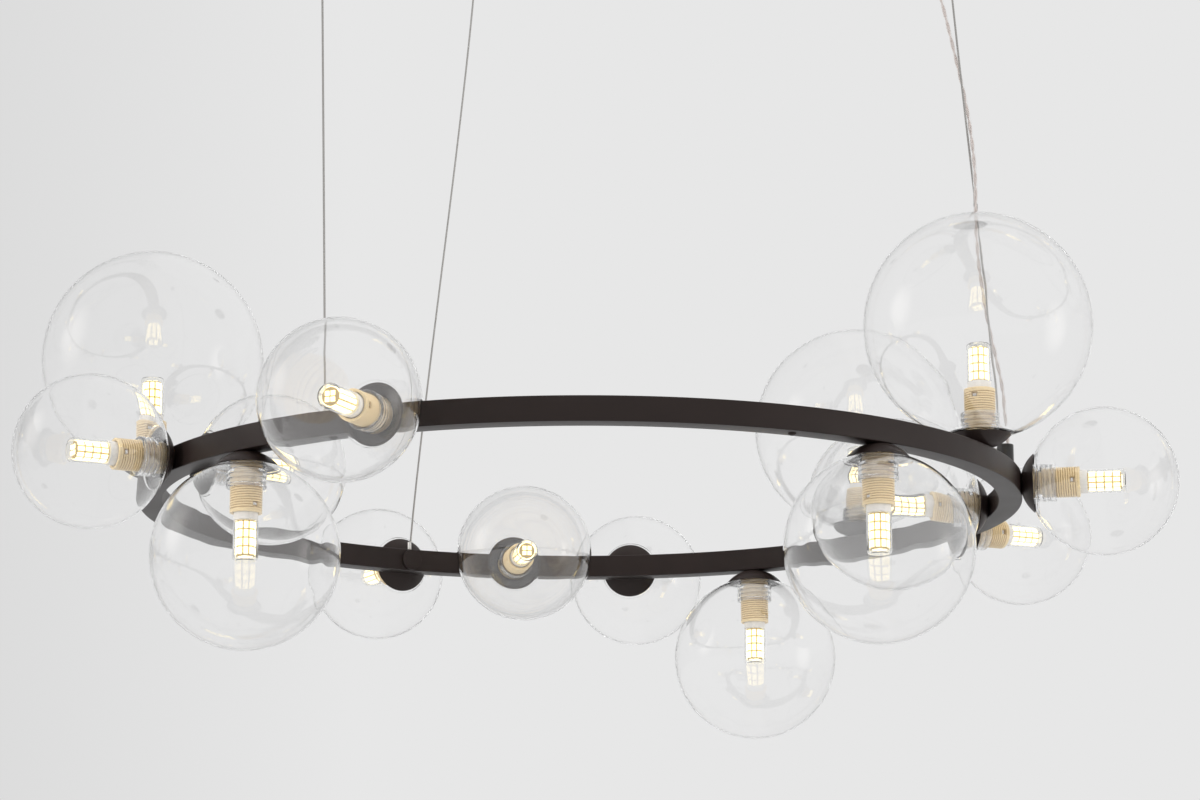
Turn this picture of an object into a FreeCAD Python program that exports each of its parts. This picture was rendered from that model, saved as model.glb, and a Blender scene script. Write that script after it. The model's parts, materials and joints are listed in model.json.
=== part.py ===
import FreeCAD, Part
import os
from math import atan, cos, pi, radians, sin, sqrt, tan

# A ring chandelier: one hollow square hoop hung on three steel wires, with fifteen clear glass globes
# screwed over thin lampholders that point up, down, inwards and outwards.
# Millimetres, +Z up. The origin is on the ceiling, in the middle of the circle of the three ceiling fittings.
# The light is seen from the -Y side.

# Ring
ring_outer_d = 600.0
tube_side = 16.0
tube_wall = 1.5
tube_edge_r = 0.8
ring_drop = 479.0            # ceiling to the top face of the ring

# Lamps: azimuth in degrees, the face of the tube that carries it, and the size of its globe
globe_d = {"small": 100.0, "medium": 120.0, "large": 150.0}
lamps = [
    (7.5, "in", "medium"),
    (26.0, "out", "small"),
    (45.5, "up", "large"),
    (63.5, "down", "medium"),
    (83.0, "out", "small"),
    (100.5, "in", "small"),
    (116.0, "out", "small"),
    (186.0, "up", "large"),
    (207.5, "in", "small"),
    (208.0, "out", "small"),
    (224.0, "down", "medium"),
    (246.0, "out", "small"),
    (309.5, "down", "medium"),
    (333.0, "up", "large"),
    (350.5, "out", "small"),
]

# Dished cap under each globe
dish_d = 40.0
dish_h = 8.5
dish_sheet = 1.2
dish_seat_d = 13.0

# Hollow threaded nipple and its nut, which hold dish and lampholder on the tube
nipple_d = 10.0
nipple_bore = 7.0
nipple_in_holder = 8.0
nut_flats = 12.0
nut_h = 3.0
nut_spare_thread = 0.5

# Lampholder
holder_d = 20.6
holder_h = 37.8
holder_chamfer = 1.0
holder_foot_h = 2.4          # tapered foot that clears the dish
socket_d = 16.6
socket_depth = 4.0
chamber_d = 12.0
chamber_floor = 2.0          # nipple's end to the chamber for the leads
contact_slot_depth = 14.0
latch_window_w = 4.0
latch_window_h = 3.0
latch_window_drop = 5.0      # from the open end to the middle of the window

# Two-pin bulb
bulb_d = 16.0
bulb_base_d = 15.8
bulb_base_show = 5.0
bulb_cover_h = 25.5
bulb_tip_round = 2.0
pin_pitch = 9.0
pin_wire_d = 0.8
pin_loop_w = 2.8
pin_length = 13.0

# Glass globe with a turned-in neck
glass = 2.0
neck_wall = 2.2
neck_length = 14.7
globe_seat_d = 36.6

# Wires, their anchors in the ring, and the ceiling fittings
wire_d = 1.5
wire_azimuth = 236.5
wire_count = 3
wire_inset = 3.5             # from the ring's inner face to the wire
ceiling_circle_r = 255.0
ceiling_twist = -8.3         # degrees from each ring anchor to its ceiling fitting
plug_head_d = 15.0
plug_head_h = 2.0
plug_d = 9.0
plug_depth = 5.6
sleeve_d = 2.8
sleeve_h = 6.0
wire_rise = 13.0             # upright stretch of wire above a sleeve or the gland
wire_entry = 18.0            # upright stretch of wire below a ceiling fitting
wire_tail = 4.0              # wire past the floor of a ceiling cap

# Power cord beside the third wire
cord_d = 3.0
cord_inset = 8.0             # from the ring's outer face to the cord
cord_pitch = 176.0           # height of one turn round the wire
cord_steps = 4               # route points per turn
cord_points = 6              # route points round the wire
cord_start = 13.0            # upright stretch of cord above the gland
gland_d = 11.3
gland_h = 25.0
gland_stub_d = 8.4
gland_stub_h = 2.6
gland_screw_head_d = 5.0
gland_screw_head_h = 2.5
gland_screw_d = 2.5
gland_screw_drop = 4.6

# Wiring inside the ring
harness_d = 4.0
lead_gap = 0.3               # radial, leads to nipple bore

# Button-head screws under the ring and the tapped plates inside it
ring_screw_azimuths = (238.5, 296.5)
ring_screw_d = 3.0
ring_screw_head_d = 5.5
ring_screw_head_h = 1.5
ring_screw_length = 5.0
screw_plate_side = 9.0
screw_plate_h = 2.5

# Ceiling fittings
mount_hole_d = 4.5
mount_web = 3.0
screw_head_room_d = 9.0
fitting_d = 24.0
spigot_d = 20.0
spigot_h = 6.0
flange_h = 2.0
cap_h = 18.0
cap_floor = 4.0
cap_cavity_d = 16.0
nose_d = 11.0
nose_h = 10.0
nose_lip = 2.0
plunger_d = 6.0
plunger_collar_d = 8.0
plunger_collar_h = 1.5
plunger_show = 4.0
plunger_travel = 3.0
plunger_spare = 2.0

# Canopy over the third fitting, with the strain relief and the terminal block
canopy_d = 120.0
canopy_h = 26.0
canopy_sheet = 1.2
canopy_edge_r = 3.0
relief_reach = 30.0          # from the wire inwards to the strain relief
relief_d = 9.0
relief_h = 9.0
relief_nut_h = 3.0
relief_nut_d = 12.0
relief_stub_d = 6.0
relief_spare = 0.5           # stub past its nut
block_size = (16.0, 16.0, 18.0)
block_reach = 24.0           # from the strain relief to the cord's end in the terminal block
block_entry = 4.0            # cord inside the terminal block
block_hole_d = 3.4
cord_turn_height = 10.0      # ceiling to the level where the cord turns to the block

# Clearances
slide_gap = 0.3              # glass to lampholder and glass to dish
thread_gap = 0.1             # radial, threaded pieces and plain holes
curve_gap = 0.12             # flat seats on the curved faces of the ring
pin_gap = 0.45

# Worked out
ring_r = ring_outer_d / 2
ring_inner_r = ring_r - tube_side
ring_mid_r = ring_r - tube_side / 2
ring_top = -ring_drop
ring_bottom = ring_top - tube_side
ring_mid = ring_top - tube_side / 2
wire_r = wire_d / 2
wire_circle_r = ring_inner_r + wire_inset
cord_circle_r = ring_r - cord_inset
gland_circle_r = (wire_circle_r + cord_circle_r) / 2
holder_end = dish_sheet + holder_h
neck_bore_r = holder_d / 2 + slide_gap
bulb_start = holder_end + bulb_base_show
bulb_tip = bulb_start + bulb_cover_h
canopy_shift = canopy_h - flange_h
Z = FreeCAD.Vector(0, 0, 1)


def point(x, y, z):
    return FreeCAD.Vector(x, y, z)


def on_circle(radius, azimuth, z):
    """Point at a radius and an azimuth in degrees round the ring's axis."""
    return point(radius * cos(radians(azimuth)), radius * sin(radians(azimuth)), z)


def rod(diameter, z0, z1, x=0.0, y=0.0):
    """Upright cylinder from z0 to z1."""
    return Part.makeCylinder(diameter / 2, z1 - z0, point(x, y, z0))


def turned(edges):
    """Solid of revolution round Z from edges drawn in the XZ plane."""
    face = Part.Face(Part.Wire(edges))
    return face.revolve(point(0, 0, 0), Z, 360)


def lines(corners):
    """Closed loop of straight edges through (radius, z) corners."""
    pts = [point(r, 0, z) for r, z in corners]
    return [Part.LineSegment(a, b).toShape() for a, b in zip(pts, pts[1:] + pts[:1])]


def hexagon(flats, z0, z1, hole_d):
    """Hexagonal nut with two flats parallel to X."""
    corner = flats / sqrt(3)
    pts = [point(corner * cos(radians(a)), corner * sin(radians(a)), z0) for a in range(0, 361, 60)]
    body = Part.Face(Part.makePolygon(pts)).extrude(point(0, 0, z1 - z0))
    return body.cut(rod(hole_d, z0 - 1, z1 + 1))


def bore_down(shape, hole_d, x, y, z0, z1):
    """Cut an upright round hole from z0 to z1."""
    return shape.cut(rod(hole_d, z0, z1, x, y))


def tube_along(route, diameter):
    """Round tube along straight runs joined by tangent arcs, with the smallest arc radius printed."""
    runs = [(b - a).Length for a, b in zip(route, route[1:])]
    edges = []
    here = route[0]
    radii = []
    for i in range(1, len(route) - 1):
        into = (route[i] - route[i - 1]).normalize()
        out = (route[i + 1] - route[i]).normalize()
        half = into.getAngle(out) / 2
        cut = 0.45 * min(runs[i - 1], runs[i])
        radii.append(cut / tan(half))
        start = route[i] - into * cut
        end = route[i] + out * cut
        towards = (out - into).normalize()
        middle = route[i] + towards * (cut / sin(half) * (1 - cos(half)) / cos(half) * cos(half))
        edges.append(Part.LineSegment(here, start).toShape())
        edges.append(Part.Arc(start, middle, end).toShape())
        here = end
    edges.append(Part.LineSegment(here, route[-1]).toShape())
    path = Part.Wire(edges)
    disc = Part.Wire(Part.makeCircle(diameter / 2, route[0], route[1] - route[0]))
    tube = path.makePipeShell([disc], True, False)
    wanted = pi * diameter ** 2 / 4 * path.Length
    print("tube", round(path.Length, 1), "mm, least radius", round(min(radii), 1), "mm, volume ratio",
          round(tube.Volume / wanted, 4))
    return tube


def lamp_frame(azimuth, facing):
    """Placement whose origin is on the tube's face and whose +Z points along the lamp."""
    outward = on_circle(1.0, azimuth, 0.0)
    if facing == "out":
        place, axis = on_circle(ring_r, azimuth, ring_mid), outward
    elif facing == "in":
        place, axis = on_circle(ring_inner_r, azimuth, ring_mid) - outward * curve_gap, outward * -1
    elif facing == "up":
        place, axis = on_circle(ring_mid_r, azimuth, ring_top), Z
    else:
        place, axis = on_circle(ring_mid_r, azimuth, ring_bottom), Z * -1
    side = Z.cross(outward)
    if side.y > 0:
        side = side * -1
    turn = FreeCAD.Rotation(side, axis.cross(side), axis, "ZXY")
    return FreeCAD.Placement(place, turn)


def placed(shape, frame):
    """Copy of a shape moved from the lamp's own frame into the ring's."""
    copy = shape.copy()
    copy.Placement = frame.multiply(copy.Placement)
    return copy


def nut_top(facing):
    """Height of the nut's seat inside the tube, from the outside of the tube's face."""
    return -tube_wall if facing in ("up", "down") else -tube_wall - curve_gap


def lamp_dish():
    """Spherical dish with a flat seat on the tube and a hole for the nipple."""
    rim_r = dish_d / 2
    seat_r = dish_seat_d / 2
    big_r = (rim_r ** 2 - seat_r ** 2 + dish_h ** 2) / (2 * dish_h)
    ball_r = sqrt(big_r ** 2 + seat_r ** 2)
    inner_r = ball_r - dish_sheet
    floor_r = sqrt(inner_r ** 2 - (big_r - dish_sheet) ** 2)
    lip_r = sqrt(inner_r ** 2 - (big_r - dish_h) ** 2)
    hole_r = nipple_d / 2 + thread_gap

    def arc(r0, z0, r1, z1, ball):
        angle = (atan(r0 / (big_r - z0)) + atan(r1 / (big_r - z1))) / 2
        middle = point(ball * sin(angle), 0, big_r - ball * cos(angle))
        return Part.Arc(point(r0, 0, z0), middle, point(r1, 0, z1)).toShape()

    edges = [
        Part.LineSegment(point(hole_r, 0, 0), point(seat_r, 0, 0)).toShape(),
        arc(seat_r, 0, rim_r, dish_h, ball_r),
        Part.LineSegment(point(rim_r, 0, dish_h), point(lip_r, 0, dish_h)).toShape(),
        arc(lip_r, dish_h, floor_r, dish_sheet, inner_r),
        Part.LineSegment(point(floor_r, 0, dish_sheet), point(hole_r, 0, dish_sheet)).toShape(),
        Part.LineSegment(point(hole_r, 0, dish_sheet), point(hole_r, 0, 0)).toShape(),
    ]
    return turned(edges)


def lamp_nipple(facing):
    """Hollow threaded tube from the nut up into the lampholder."""
    low = nut_top(facing) - nut_h - nut_spare_thread
    high = dish_sheet + nipple_in_holder
    return rod(nipple_d, low, high).cut(rod(nipple_bore, low - 1, high + 1))


def lamp_nut(facing):
    seat = nut_top(facing)
    return hexagon(nut_flats, seat - nut_h, seat, nipple_d + 2 * thread_gap)


def lampholder():
    """Round holder: nipple hole, lead chamber, two contact slots, bulb recess and latch window."""
    outer = holder_d / 2
    edge = holder_chamfer
    body = turned(lines([
        (0, dish_sheet), (dish_seat_d / 2 - dish_sheet, dish_sheet), (outer, dish_sheet + holder_foot_h),
        (outer, holder_end - edge), (outer - edge, holder_end), (0, holder_end),
    ]))
    nipple_floor = dish_sheet + nipple_in_holder
    recess_floor = holder_end - socket_depth
    slot_floor = recess_floor - contact_slot_depth
    body = body.cut(rod(nipple_d + 2 * thread_gap, dish_sheet - 1, nipple_floor))
    body = body.cut(rod(nipple_bore, nipple_floor - 1, nipple_floor + chamber_floor + 1))
    body = body.cut(rod(chamber_d, nipple_floor + chamber_floor, slot_floor))
    body = body.cut(rod(socket_d, recess_floor, holder_end + 1))
    slot_w = pin_loop_w + pin_wire_d + 2 * pin_gap
    slot_t = pin_wire_d + 2 * pin_gap
    for side in (-1, 1):
        x = side * pin_pitch / 2
        slot = Part.makeBox(slot_t, slot_w, contact_slot_depth + 1, point(x - slot_t / 2, -slot_w / 2, slot_floor))
        body = body.cut(slot)
    window_z = holder_end - latch_window_drop - latch_window_h / 2
    window = Part.makeBox(outer, latch_window_w, latch_window_h, point(socket_d / 2 - 2, -latch_window_w / 2, window_z))
    return body.cut(window)


def bulb():
    """Ceramic base, round cover and two wire loops."""
    low = holder_end - socket_depth
    base = rod(bulb_base_d, low, bulb_start)
    cover = rod(bulb_d, bulb_start, bulb_tip)
    rim = [e for e in cover.Edges if abs(e.BoundBox.ZMin - bulb_tip) < 1e-6 and e.BoundBox.ZLength < 1e-6]
    cover = cover.makeFillet(bulb_tip_round, rim)
    pieces = [base, cover]
    half = pin_loop_w / 2
    for side in (-1, 1):
        x = side * pin_pitch / 2
        end = low - pin_length + half
        legs = [Part.makeCylinder(pin_wire_d / 2, low - end, point(x, y, end)) for y in (-half, half)]
        start = Part.Face(Part.Wire(Part.makeCircle(pin_wire_d / 2, point(x, half, end), Z)))
        bend = start.revolve(point(x, 0, end), point(1, 0, 0), -180)
        pieces.append(legs[0].fuse([legs[1], bend]).removeSplitter())
    return Part.makeCompound(pieces)


def globe(diameter):
    """Blown globe whose glass folds over at the dish and runs back inside as a short neck."""
    outer = diameter / 2
    inner = outer - glass
    seat = globe_seat_d / 2
    base = dish_h
    centre = base + sqrt(outer ** 2 - seat ** 2)
    neck_r = neck_bore_r + neck_wall
    neck_end = base + neck_length
    floor = base + glass
    inner_floor_r = sqrt(inner ** 2 - (centre - floor) ** 2)
    corner = glass / 2

    def on_ball(ball, angle):
        return point(ball * sin(angle), 0, centre - ball * cos(angle))

    low_out = atan(seat / (centre - base))
    low_in = atan(inner_floor_r / (centre - floor))
    shell = turned([
        Part.Arc(on_ball(outer, low_out), on_ball(outer, (low_out + pi) / 2), on_ball(outer, pi)).toShape(),
        Part.LineSegment(on_ball(outer, pi), on_ball(inner, pi)).toShape(),
        Part.Arc(on_ball(inner, pi), on_ball(inner, (low_in + pi) / 2), on_ball(inner, low_in)).toShape(),
        Part.LineSegment(on_ball(inner, low_in), point(neck_r, 0, floor)).toShape(),
        Part.LineSegment(point(neck_r, 0, floor), point(neck_r, 0, neck_end)).toShape(),
        Part.LineSegment(point(neck_r, 0, neck_end), point(neck_bore_r, 0, neck_end)).toShape(),
        Part.LineSegment(point(neck_bore_r, 0, neck_end), point(neck_bore_r, 0, base)).toShape(),
        Part.LineSegment(point(neck_bore_r, 0, base), point(seat, 0, base)).toShape(),
    ])
    mouth = [e for e in shell.Edges if abs(e.BoundBox.ZMin - base) < 1e-6 and e.BoundBox.ZLength < 1e-6
             and e.BoundBox.XLength < globe_seat_d - 1]
    return shell.makeFillet(corner, mouth)


def ring_tube():
    """Rolled square tube with holes for nipples, plugs, wires, gland and screws."""
    half = tube_side / 2

    def section(inset, edge_r):
        s = half - inset
        box = Part.makeBox(2 * s, 1.0, 2 * s, point(ring_mid_r - s, 0, ring_mid - s))
        face = [f for f in box.Faces if abs(f.BoundBox.YMax) < 1e-6][0]
        if edge_r <= 0:
            return face.revolve(point(0, 0, 0), Z, 360)
        long_edges = [e for e in box.Edges if e.BoundBox.YLength > 0.5]
        rounded = box.makeFillet(edge_r, long_edges)
        flat = [f for f in rounded.Faces if abs(f.BoundBox.YMax) < 1e-6][0]
        return flat.revolve(point(0, 0, 0), Z, 360)

    tube = section(0.0, tube_edge_r).cut(section(tube_wall, 0.0))
    hole_d = nipple_d + 2 * thread_gap
    for azimuth, facing, _ in lamps:
        drill = rod(hole_d, -tube_wall - 1, 1)
        tube = tube.cut(placed(drill, lamp_frame(azimuth, facing)))
    for azimuth in anchor_azimuths()[:-1]:
        plug_hole = rod(plug_d + 2 * thread_gap, -tube_wall - 1, 1)
        tube = tube.cut(placed(plug_hole, lamp_frame(azimuth, "in")))
        place = on_circle(wire_circle_r, azimuth, 0)
        tube = bore_down(tube, wire_d + 4 * thread_gap, place.x, place.y, ring_top - tube_wall - 1, ring_top + 1)
    place = on_circle(gland_circle_r, anchor_azimuths()[-1], 0)
    stub_hole = gland_stub_d + 2 * thread_gap
    tube = bore_down(tube, stub_hole, place.x, place.y, ring_top - tube_wall - 1, ring_top + 1)
    for azimuth in ring_screw_azimuths:
        place = on_circle(ring_mid_r, azimuth, 0)
        hole = ring_screw_d + 2 * thread_gap
        tube = bore_down(tube, hole, place.x, place.y, ring_bottom - 1, ring_bottom + tube_wall + 1)
    return tube


def anchor_azimuths():
    """The three wires round the ring: near left, far left and right."""
    step = 360.0 / wire_count
    return [wire_azimuth, wire_azimuth - step, wire_azimuth + step]


def anchor_point(i, z):
    return on_circle(wire_circle_r, anchor_azimuths()[i], z)


def ceiling_point(i, z):
    return on_circle(ceiling_circle_r, anchor_azimuths()[i] + ceiling_twist, z)


def fitting_shift(i):
    """The third fitting reaches down through the canopy."""
    return canopy_shift if i == wire_count - 1 else 0.0


def cap_top(i):
    return -flange_h - fitting_shift(i)


def nose_end(i):
    return cap_top(i) - cap_h - nose_h


def wire_route(i):
    """Upright in the ring's anchor, straight and leaning in the open, upright in the ceiling fitting."""
    if i == wire_count - 1:
        foot = ring_top + gland_h - 3 * gland_screw_drop
        leave = ring_top + gland_h + wire_rise
    else:
        foot = ring_mid - wire_d
        leave = ring_top + sleeve_h + wire_rise
    enter = nose_end(i) - plunger_show - wire_entry
    top = cap_top(i) - cap_h + cap_floor + wire_tail
    return [anchor_point(i, foot), anchor_point(i, leave), ceiling_point(i, enter), ceiling_point(i, top)]


def hung_wire(i):
    return tube_along(wire_route(i), wire_d)


def anchor_plug(azimuth):
    """Turned plug in the ring's inner face, cross-drilled for the wire."""
    frame = lamp_frame(azimuth, "in")
    plug = placed(rod(plug_head_d, 0, plug_head_h).fuse(rod(plug_d, -plug_depth, 0)).removeSplitter(), frame)
    place = on_circle(wire_circle_r, azimuth, 0)
    return bore_down(plug, wire_d + 2 * thread_gap, place.x, place.y, ring_bottom, ring_top)


def wire_sleeve(i):
    place = anchor_point(i, ring_top)
    sleeve = Part.makeCylinder(sleeve_d / 2, sleeve_h, place)
    return bore_down(sleeve, wire_d + 2 * thread_gap, place.x, place.y, ring_top - 1, ring_top + sleeve_h + 1)


def cord_foot(z):
    return on_circle(cord_circle_r, anchor_azimuths()[-1], z)


def relief_direction():
    """From the third wire's fitting straight in towards the middle of the ring."""
    return on_circle(-1.0, anchor_azimuths()[-1] + ceiling_twist, 0)


def relief_point(z):
    """Strain relief in the canopy, inwards of the wire."""
    return ceiling_point(2, z) + relief_direction() * relief_reach


def block_direction():
    return Z.cross(relief_direction())


def cord_route():
    """Up through the gland, round the wire, in to the strain relief and over to the terminal block."""
    _, low, high, _ = wire_route(2)
    along = (high - low).normalize()
    across = on_circle(1.0, anchor_azimuths()[-1], 0)
    beside = Z.cross(across)
    reach = cord_circle_r - wire_circle_r
    near = ((cord_d + wire_d) / 2 + slide_gap) / cos(pi / cord_steps)
    step = cord_pitch / cord_steps
    start = cord_start - wire_rise
    route = [cord_foot(ring_mid + harness_d / 2), cord_foot(ring_top + gland_h + cord_start)]
    for k in range(1, cord_points + 1):
        turn = 2 * pi * (k - 0.5) / cord_steps
        swing = max(near, reach - (reach - near) * k / 2)
        route.append(low + along * (start + k * step) + across * (swing * cos(turn)) + beside * (swing * sin(turn)))
    relief_low = relief_point(-canopy_h - relief_h - step / 2)
    leave = route[-1]
    for part in (0.34, 0.72):
        spot = leave + (relief_low - leave) * part
        route.append(spot - relief_direction() * (relief_reach * part * (1 - part) / 2))
    route.append(relief_low)
    route.append(relief_point(-cord_turn_height))
    route.append(relief_point(-cord_turn_height) + block_direction() * block_reach)
    return route


def cord_gland():
    """Black post on the ring: one bore for the cord, one for the wire and a side hole for the clamp screw."""
    azimuth = anchor_azimuths()[-1]
    place = on_circle(gland_circle_r, azimuth, ring_top)
    body = Part.makeCylinder(gland_d / 2, gland_h, place)
    rim = [e for e in body.Edges if abs(e.BoundBox.ZMin - ring_top - gland_h) < 1e-6 and e.BoundBox.ZLength < 1e-6]
    body = body.makeFillet(tube_edge_r, rim)
    stub = Part.makeCylinder(gland_stub_d / 2, gland_stub_h, place - Z * gland_stub_h)
    body = body.fuse(stub).removeSplitter()
    foot = cord_foot(0)
    wire = anchor_point(2, 0)
    body = bore_down(body, cord_d + 2 * thread_gap, foot.x, foot.y, ring_bottom, ring_top + gland_h + 1)
    body = bore_down(body, wire_d + 2 * thread_gap, wire.x, wire.y, ring_top + gland_screw_drop, ring_top + gland_h + 1)
    inward = on_circle(-1.0, azimuth, 0)
    start = wire + Z * (ring_top + gland_h - gland_screw_drop)
    return body.cut(Part.makeCylinder(gland_screw_d / 2 + thread_gap, gland_d, start, inward))


def gland_screw():
    """Knurled clamp screw in the side of the gland, its tip on the wire."""
    azimuth = anchor_azimuths()[-1]
    inward = on_circle(-1.0, azimuth, 0)
    height = Z * (ring_top + gland_h - gland_screw_drop)
    tip = anchor_point(2, 0) + height + inward * (wire_r + thread_gap)
    face = on_circle(gland_circle_r, azimuth, 0) + height + inward * (gland_d / 2)
    shank = Part.makeCylinder(gland_screw_d / 2, (face - tip).Length, tip, inward)
    head = Part.makeCylinder(gland_screw_head_d / 2, gland_screw_head_h, face + inward * thread_gap, inward)
    neck = Part.makeCylinder(gland_screw_d / 2, thread_gap, face, inward)
    return shank.fuse([neck, head]).removeSplitter()


def ring_wiring():
    """Round bundle all the way round the tube with one short lead up each nipple."""
    bundle = Part.makeTorus(ring_mid_r, harness_d / 2, point(0, 0, ring_mid))
    leads = []
    lead_d = nipple_bore - 2 * lead_gap
    reach = dish_sheet + nipple_in_holder + 2 * chamber_floor
    for azimuth, facing, _ in lamps:
        lead = rod(lead_d, -tube_side / 2, reach)
        leads.append(placed(lead, lamp_frame(azimuth, facing)))
    return bundle.fuse(leads)


def ring_screw(azimuth):
    """Button-head screw from below."""
    place = on_circle(ring_mid_r, azimuth, ring_bottom)
    shank = Part.makeCylinder(ring_screw_d / 2, ring_screw_length, place)
    ball_r = (ring_screw_head_h ** 2 + (ring_screw_head_d / 2) ** 2) / (2 * ring_screw_head_h)
    ball = Part.makeSphere(ball_r, place + Z * (ball_r - ring_screw_head_h))
    block = Part.makeCylinder(ring_screw_head_d, ball_r, place - Z * ball_r)
    return shank.fuse(ball.common(block)).removeSplitter()


def screw_plate(azimuth):
    place = on_circle(ring_mid_r, azimuth, ring_bottom + tube_wall)
    half = screw_plate_side / 2
    plate = Part.makeBox(screw_plate_side, screw_plate_side, screw_plate_h, point(-half, -half, 0))
    plate = plate.cut(rod(ring_screw_d + 2 * thread_gap, -1, screw_plate_h + 1))
    plate.Placement = FreeCAD.Placement(place, FreeCAD.Rotation(Z, azimuth))
    return plate


def ceiling_base(i):
    """Turned base against the ceiling, with a screw hole and room for the screw's head."""
    flange = flange_h + fitting_shift(i) - (canopy_sheet if i == wire_count - 1 else 0.0)
    end = -flange_h - fitting_shift(i) - spigot_h
    base = rod(fitting_d, -flange, 0).fuse(rod(spigot_d, end, -flange)).removeSplitter()
    base = base.cut(rod(mount_hole_d, end - 1, 1))
    base = base.cut(rod(screw_head_room_d, end - 1, -mount_web))
    base.translate(ceiling_point(i, 0))
    return base


def ceiling_cap(i):
    """Screw-on cap with the gripper's nose below it."""
    top = cap_top(i)
    floor = top - cap_h + cap_floor
    cap = rod(fitting_d, top - cap_h, top).fuse(rod(nose_d, top - cap_h - nose_h, top - cap_h)).removeSplitter()
    cap = cap.cut(rod(spigot_d + 2 * thread_gap, top - spigot_h, top + 1))
    cap = cap.cut(rod(cap_cavity_d, floor, top))
    cap = cap.cut(rod(wire_d + 4 * thread_gap, top - cap_h - nose_h, floor + 1))
    chamber_top = nose_end(i) + nose_lip + plunger_collar_h + plunger_travel + plunger_spare
    cap = cap.cut(rod(plunger_collar_d + 4 * thread_gap, nose_end(i) + nose_lip, chamber_top))
    cap = cap.cut(rod(plunger_d + 4 * thread_gap, nose_end(i) - 1, nose_end(i) + nose_lip + 1))
    cap.translate(ceiling_point(i, 0))
    return cap


def gripper_plunger(i):
    """Release plunger: pressed up, it frees the wire."""
    low = nose_end(i) - plunger_show
    seat = nose_end(i) + nose_lip
    stem = rod(plunger_d, low, seat)
    collar = rod(plunger_collar_d, seat, seat + plunger_collar_h)
    plunger = stem.fuse(collar).removeSplitter()
    plunger = plunger.cut(rod(wire_d + 6 * thread_gap, low - 1, seat + plunger_collar_h + 1))
    plunger.translate(ceiling_point(i, 0))
    return plunger


def canopy():
    """Shallow round cup, open against the ceiling, clamped under the third fitting's base."""
    cup = rod(canopy_d, -canopy_h, 0)
    rim = [e for e in cup.Edges if abs(e.BoundBox.ZMin + canopy_h) < 1e-6 and e.BoundBox.ZLength < 1e-6]
    cup = cup.makeFillet(canopy_edge_r, rim)
    hollow = rod(canopy_d - 2 * canopy_sheet, canopy_sheet - canopy_h, 1)
    rim = [e for e in hollow.Edges if e.BoundBox.ZMax < canopy_sheet - canopy_h + 1e-6]
    rim = [e for e in rim if e.BoundBox.ZLength < 1e-6]
    cup = cup.cut(hollow.makeFillet(canopy_edge_r - canopy_sheet, rim))
    cup = cup.cut(rod(spigot_d + 2 * thread_gap, -canopy_h - 1, 0))
    cup.translate(ceiling_point(2, 0))
    hole = relief_point(0)
    return bore_down(cup, relief_stub_d + 2 * thread_gap, hole.x, hole.y, -canopy_h - 1, canopy_sheet - canopy_h + 1)


def cord_relief():
    """Strain relief through the canopy's floor, with its nut inside."""
    floor_top = canopy_sheet - canopy_h
    body = turned(lines([
        (cord_d / 2 + thread_gap, -canopy_h - relief_h), (relief_d / 2 - 1.5, -canopy_h - relief_h),
        (relief_d / 2, -canopy_h - relief_h / 2), (relief_d / 2, -canopy_h), (relief_stub_d / 2, -canopy_h),
        (relief_stub_d / 2, floor_top + relief_nut_h + relief_spare),
        (cord_d / 2 + thread_gap, floor_top + relief_nut_h + relief_spare),
    ]))
    body.translate(relief_point(0))
    nut = turned(lines([
        (relief_stub_d / 2 + thread_gap, floor_top), (relief_nut_d / 2, floor_top),
        (relief_nut_d / 2, floor_top + relief_nut_h), (relief_stub_d / 2 + thread_gap, floor_top + relief_nut_h),
    ]))
    nut.translate(relief_point(0))
    return Part.makeCompound([body, nut])


def terminal_block():
    """Block on the canopy's floor with a row of terminal holes."""
    radial, along, tall = block_size
    floor_top = canopy_sheet - canopy_h
    block = Part.makeBox(radial, along, tall, point(-radial / 2, 0, floor_top))
    pitch = radial / 3
    for k in (-1, 0, 1):
        screw = rod(block_hole_d, floor_top + tall / 2, floor_top + tall + 1, k * pitch, along / 4)
        block = block.cut(screw)
    entry = Part.makeCylinder(cord_d / 2 + thread_gap, block_entry, point(0, 0, -cord_turn_height), point(0, 1, 0))
    block = block.cut(entry)
    place = relief_point(0) + block_direction() * (block_reach - block_entry)
    turn = FreeCAD.Rotation(relief_direction(), block_direction(), Z, "ZXY")
    block.Placement = FreeCAD.Placement(place, turn).multiply(block.Placement)
    return block


def save(name, shape):
    shape.exportStep(os.path.join("parts", name + ".step"))


def group(make, facing_wanted=None):
    """Compound of one piece per lamp, built in its lamp's frame."""
    found = [(a, f) for a, f, _ in lamps if facing_wanted in (None, f)]
    return Part.makeCompound([placed(make(f), lamp_frame(a, f)) for a, f in found])


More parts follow.
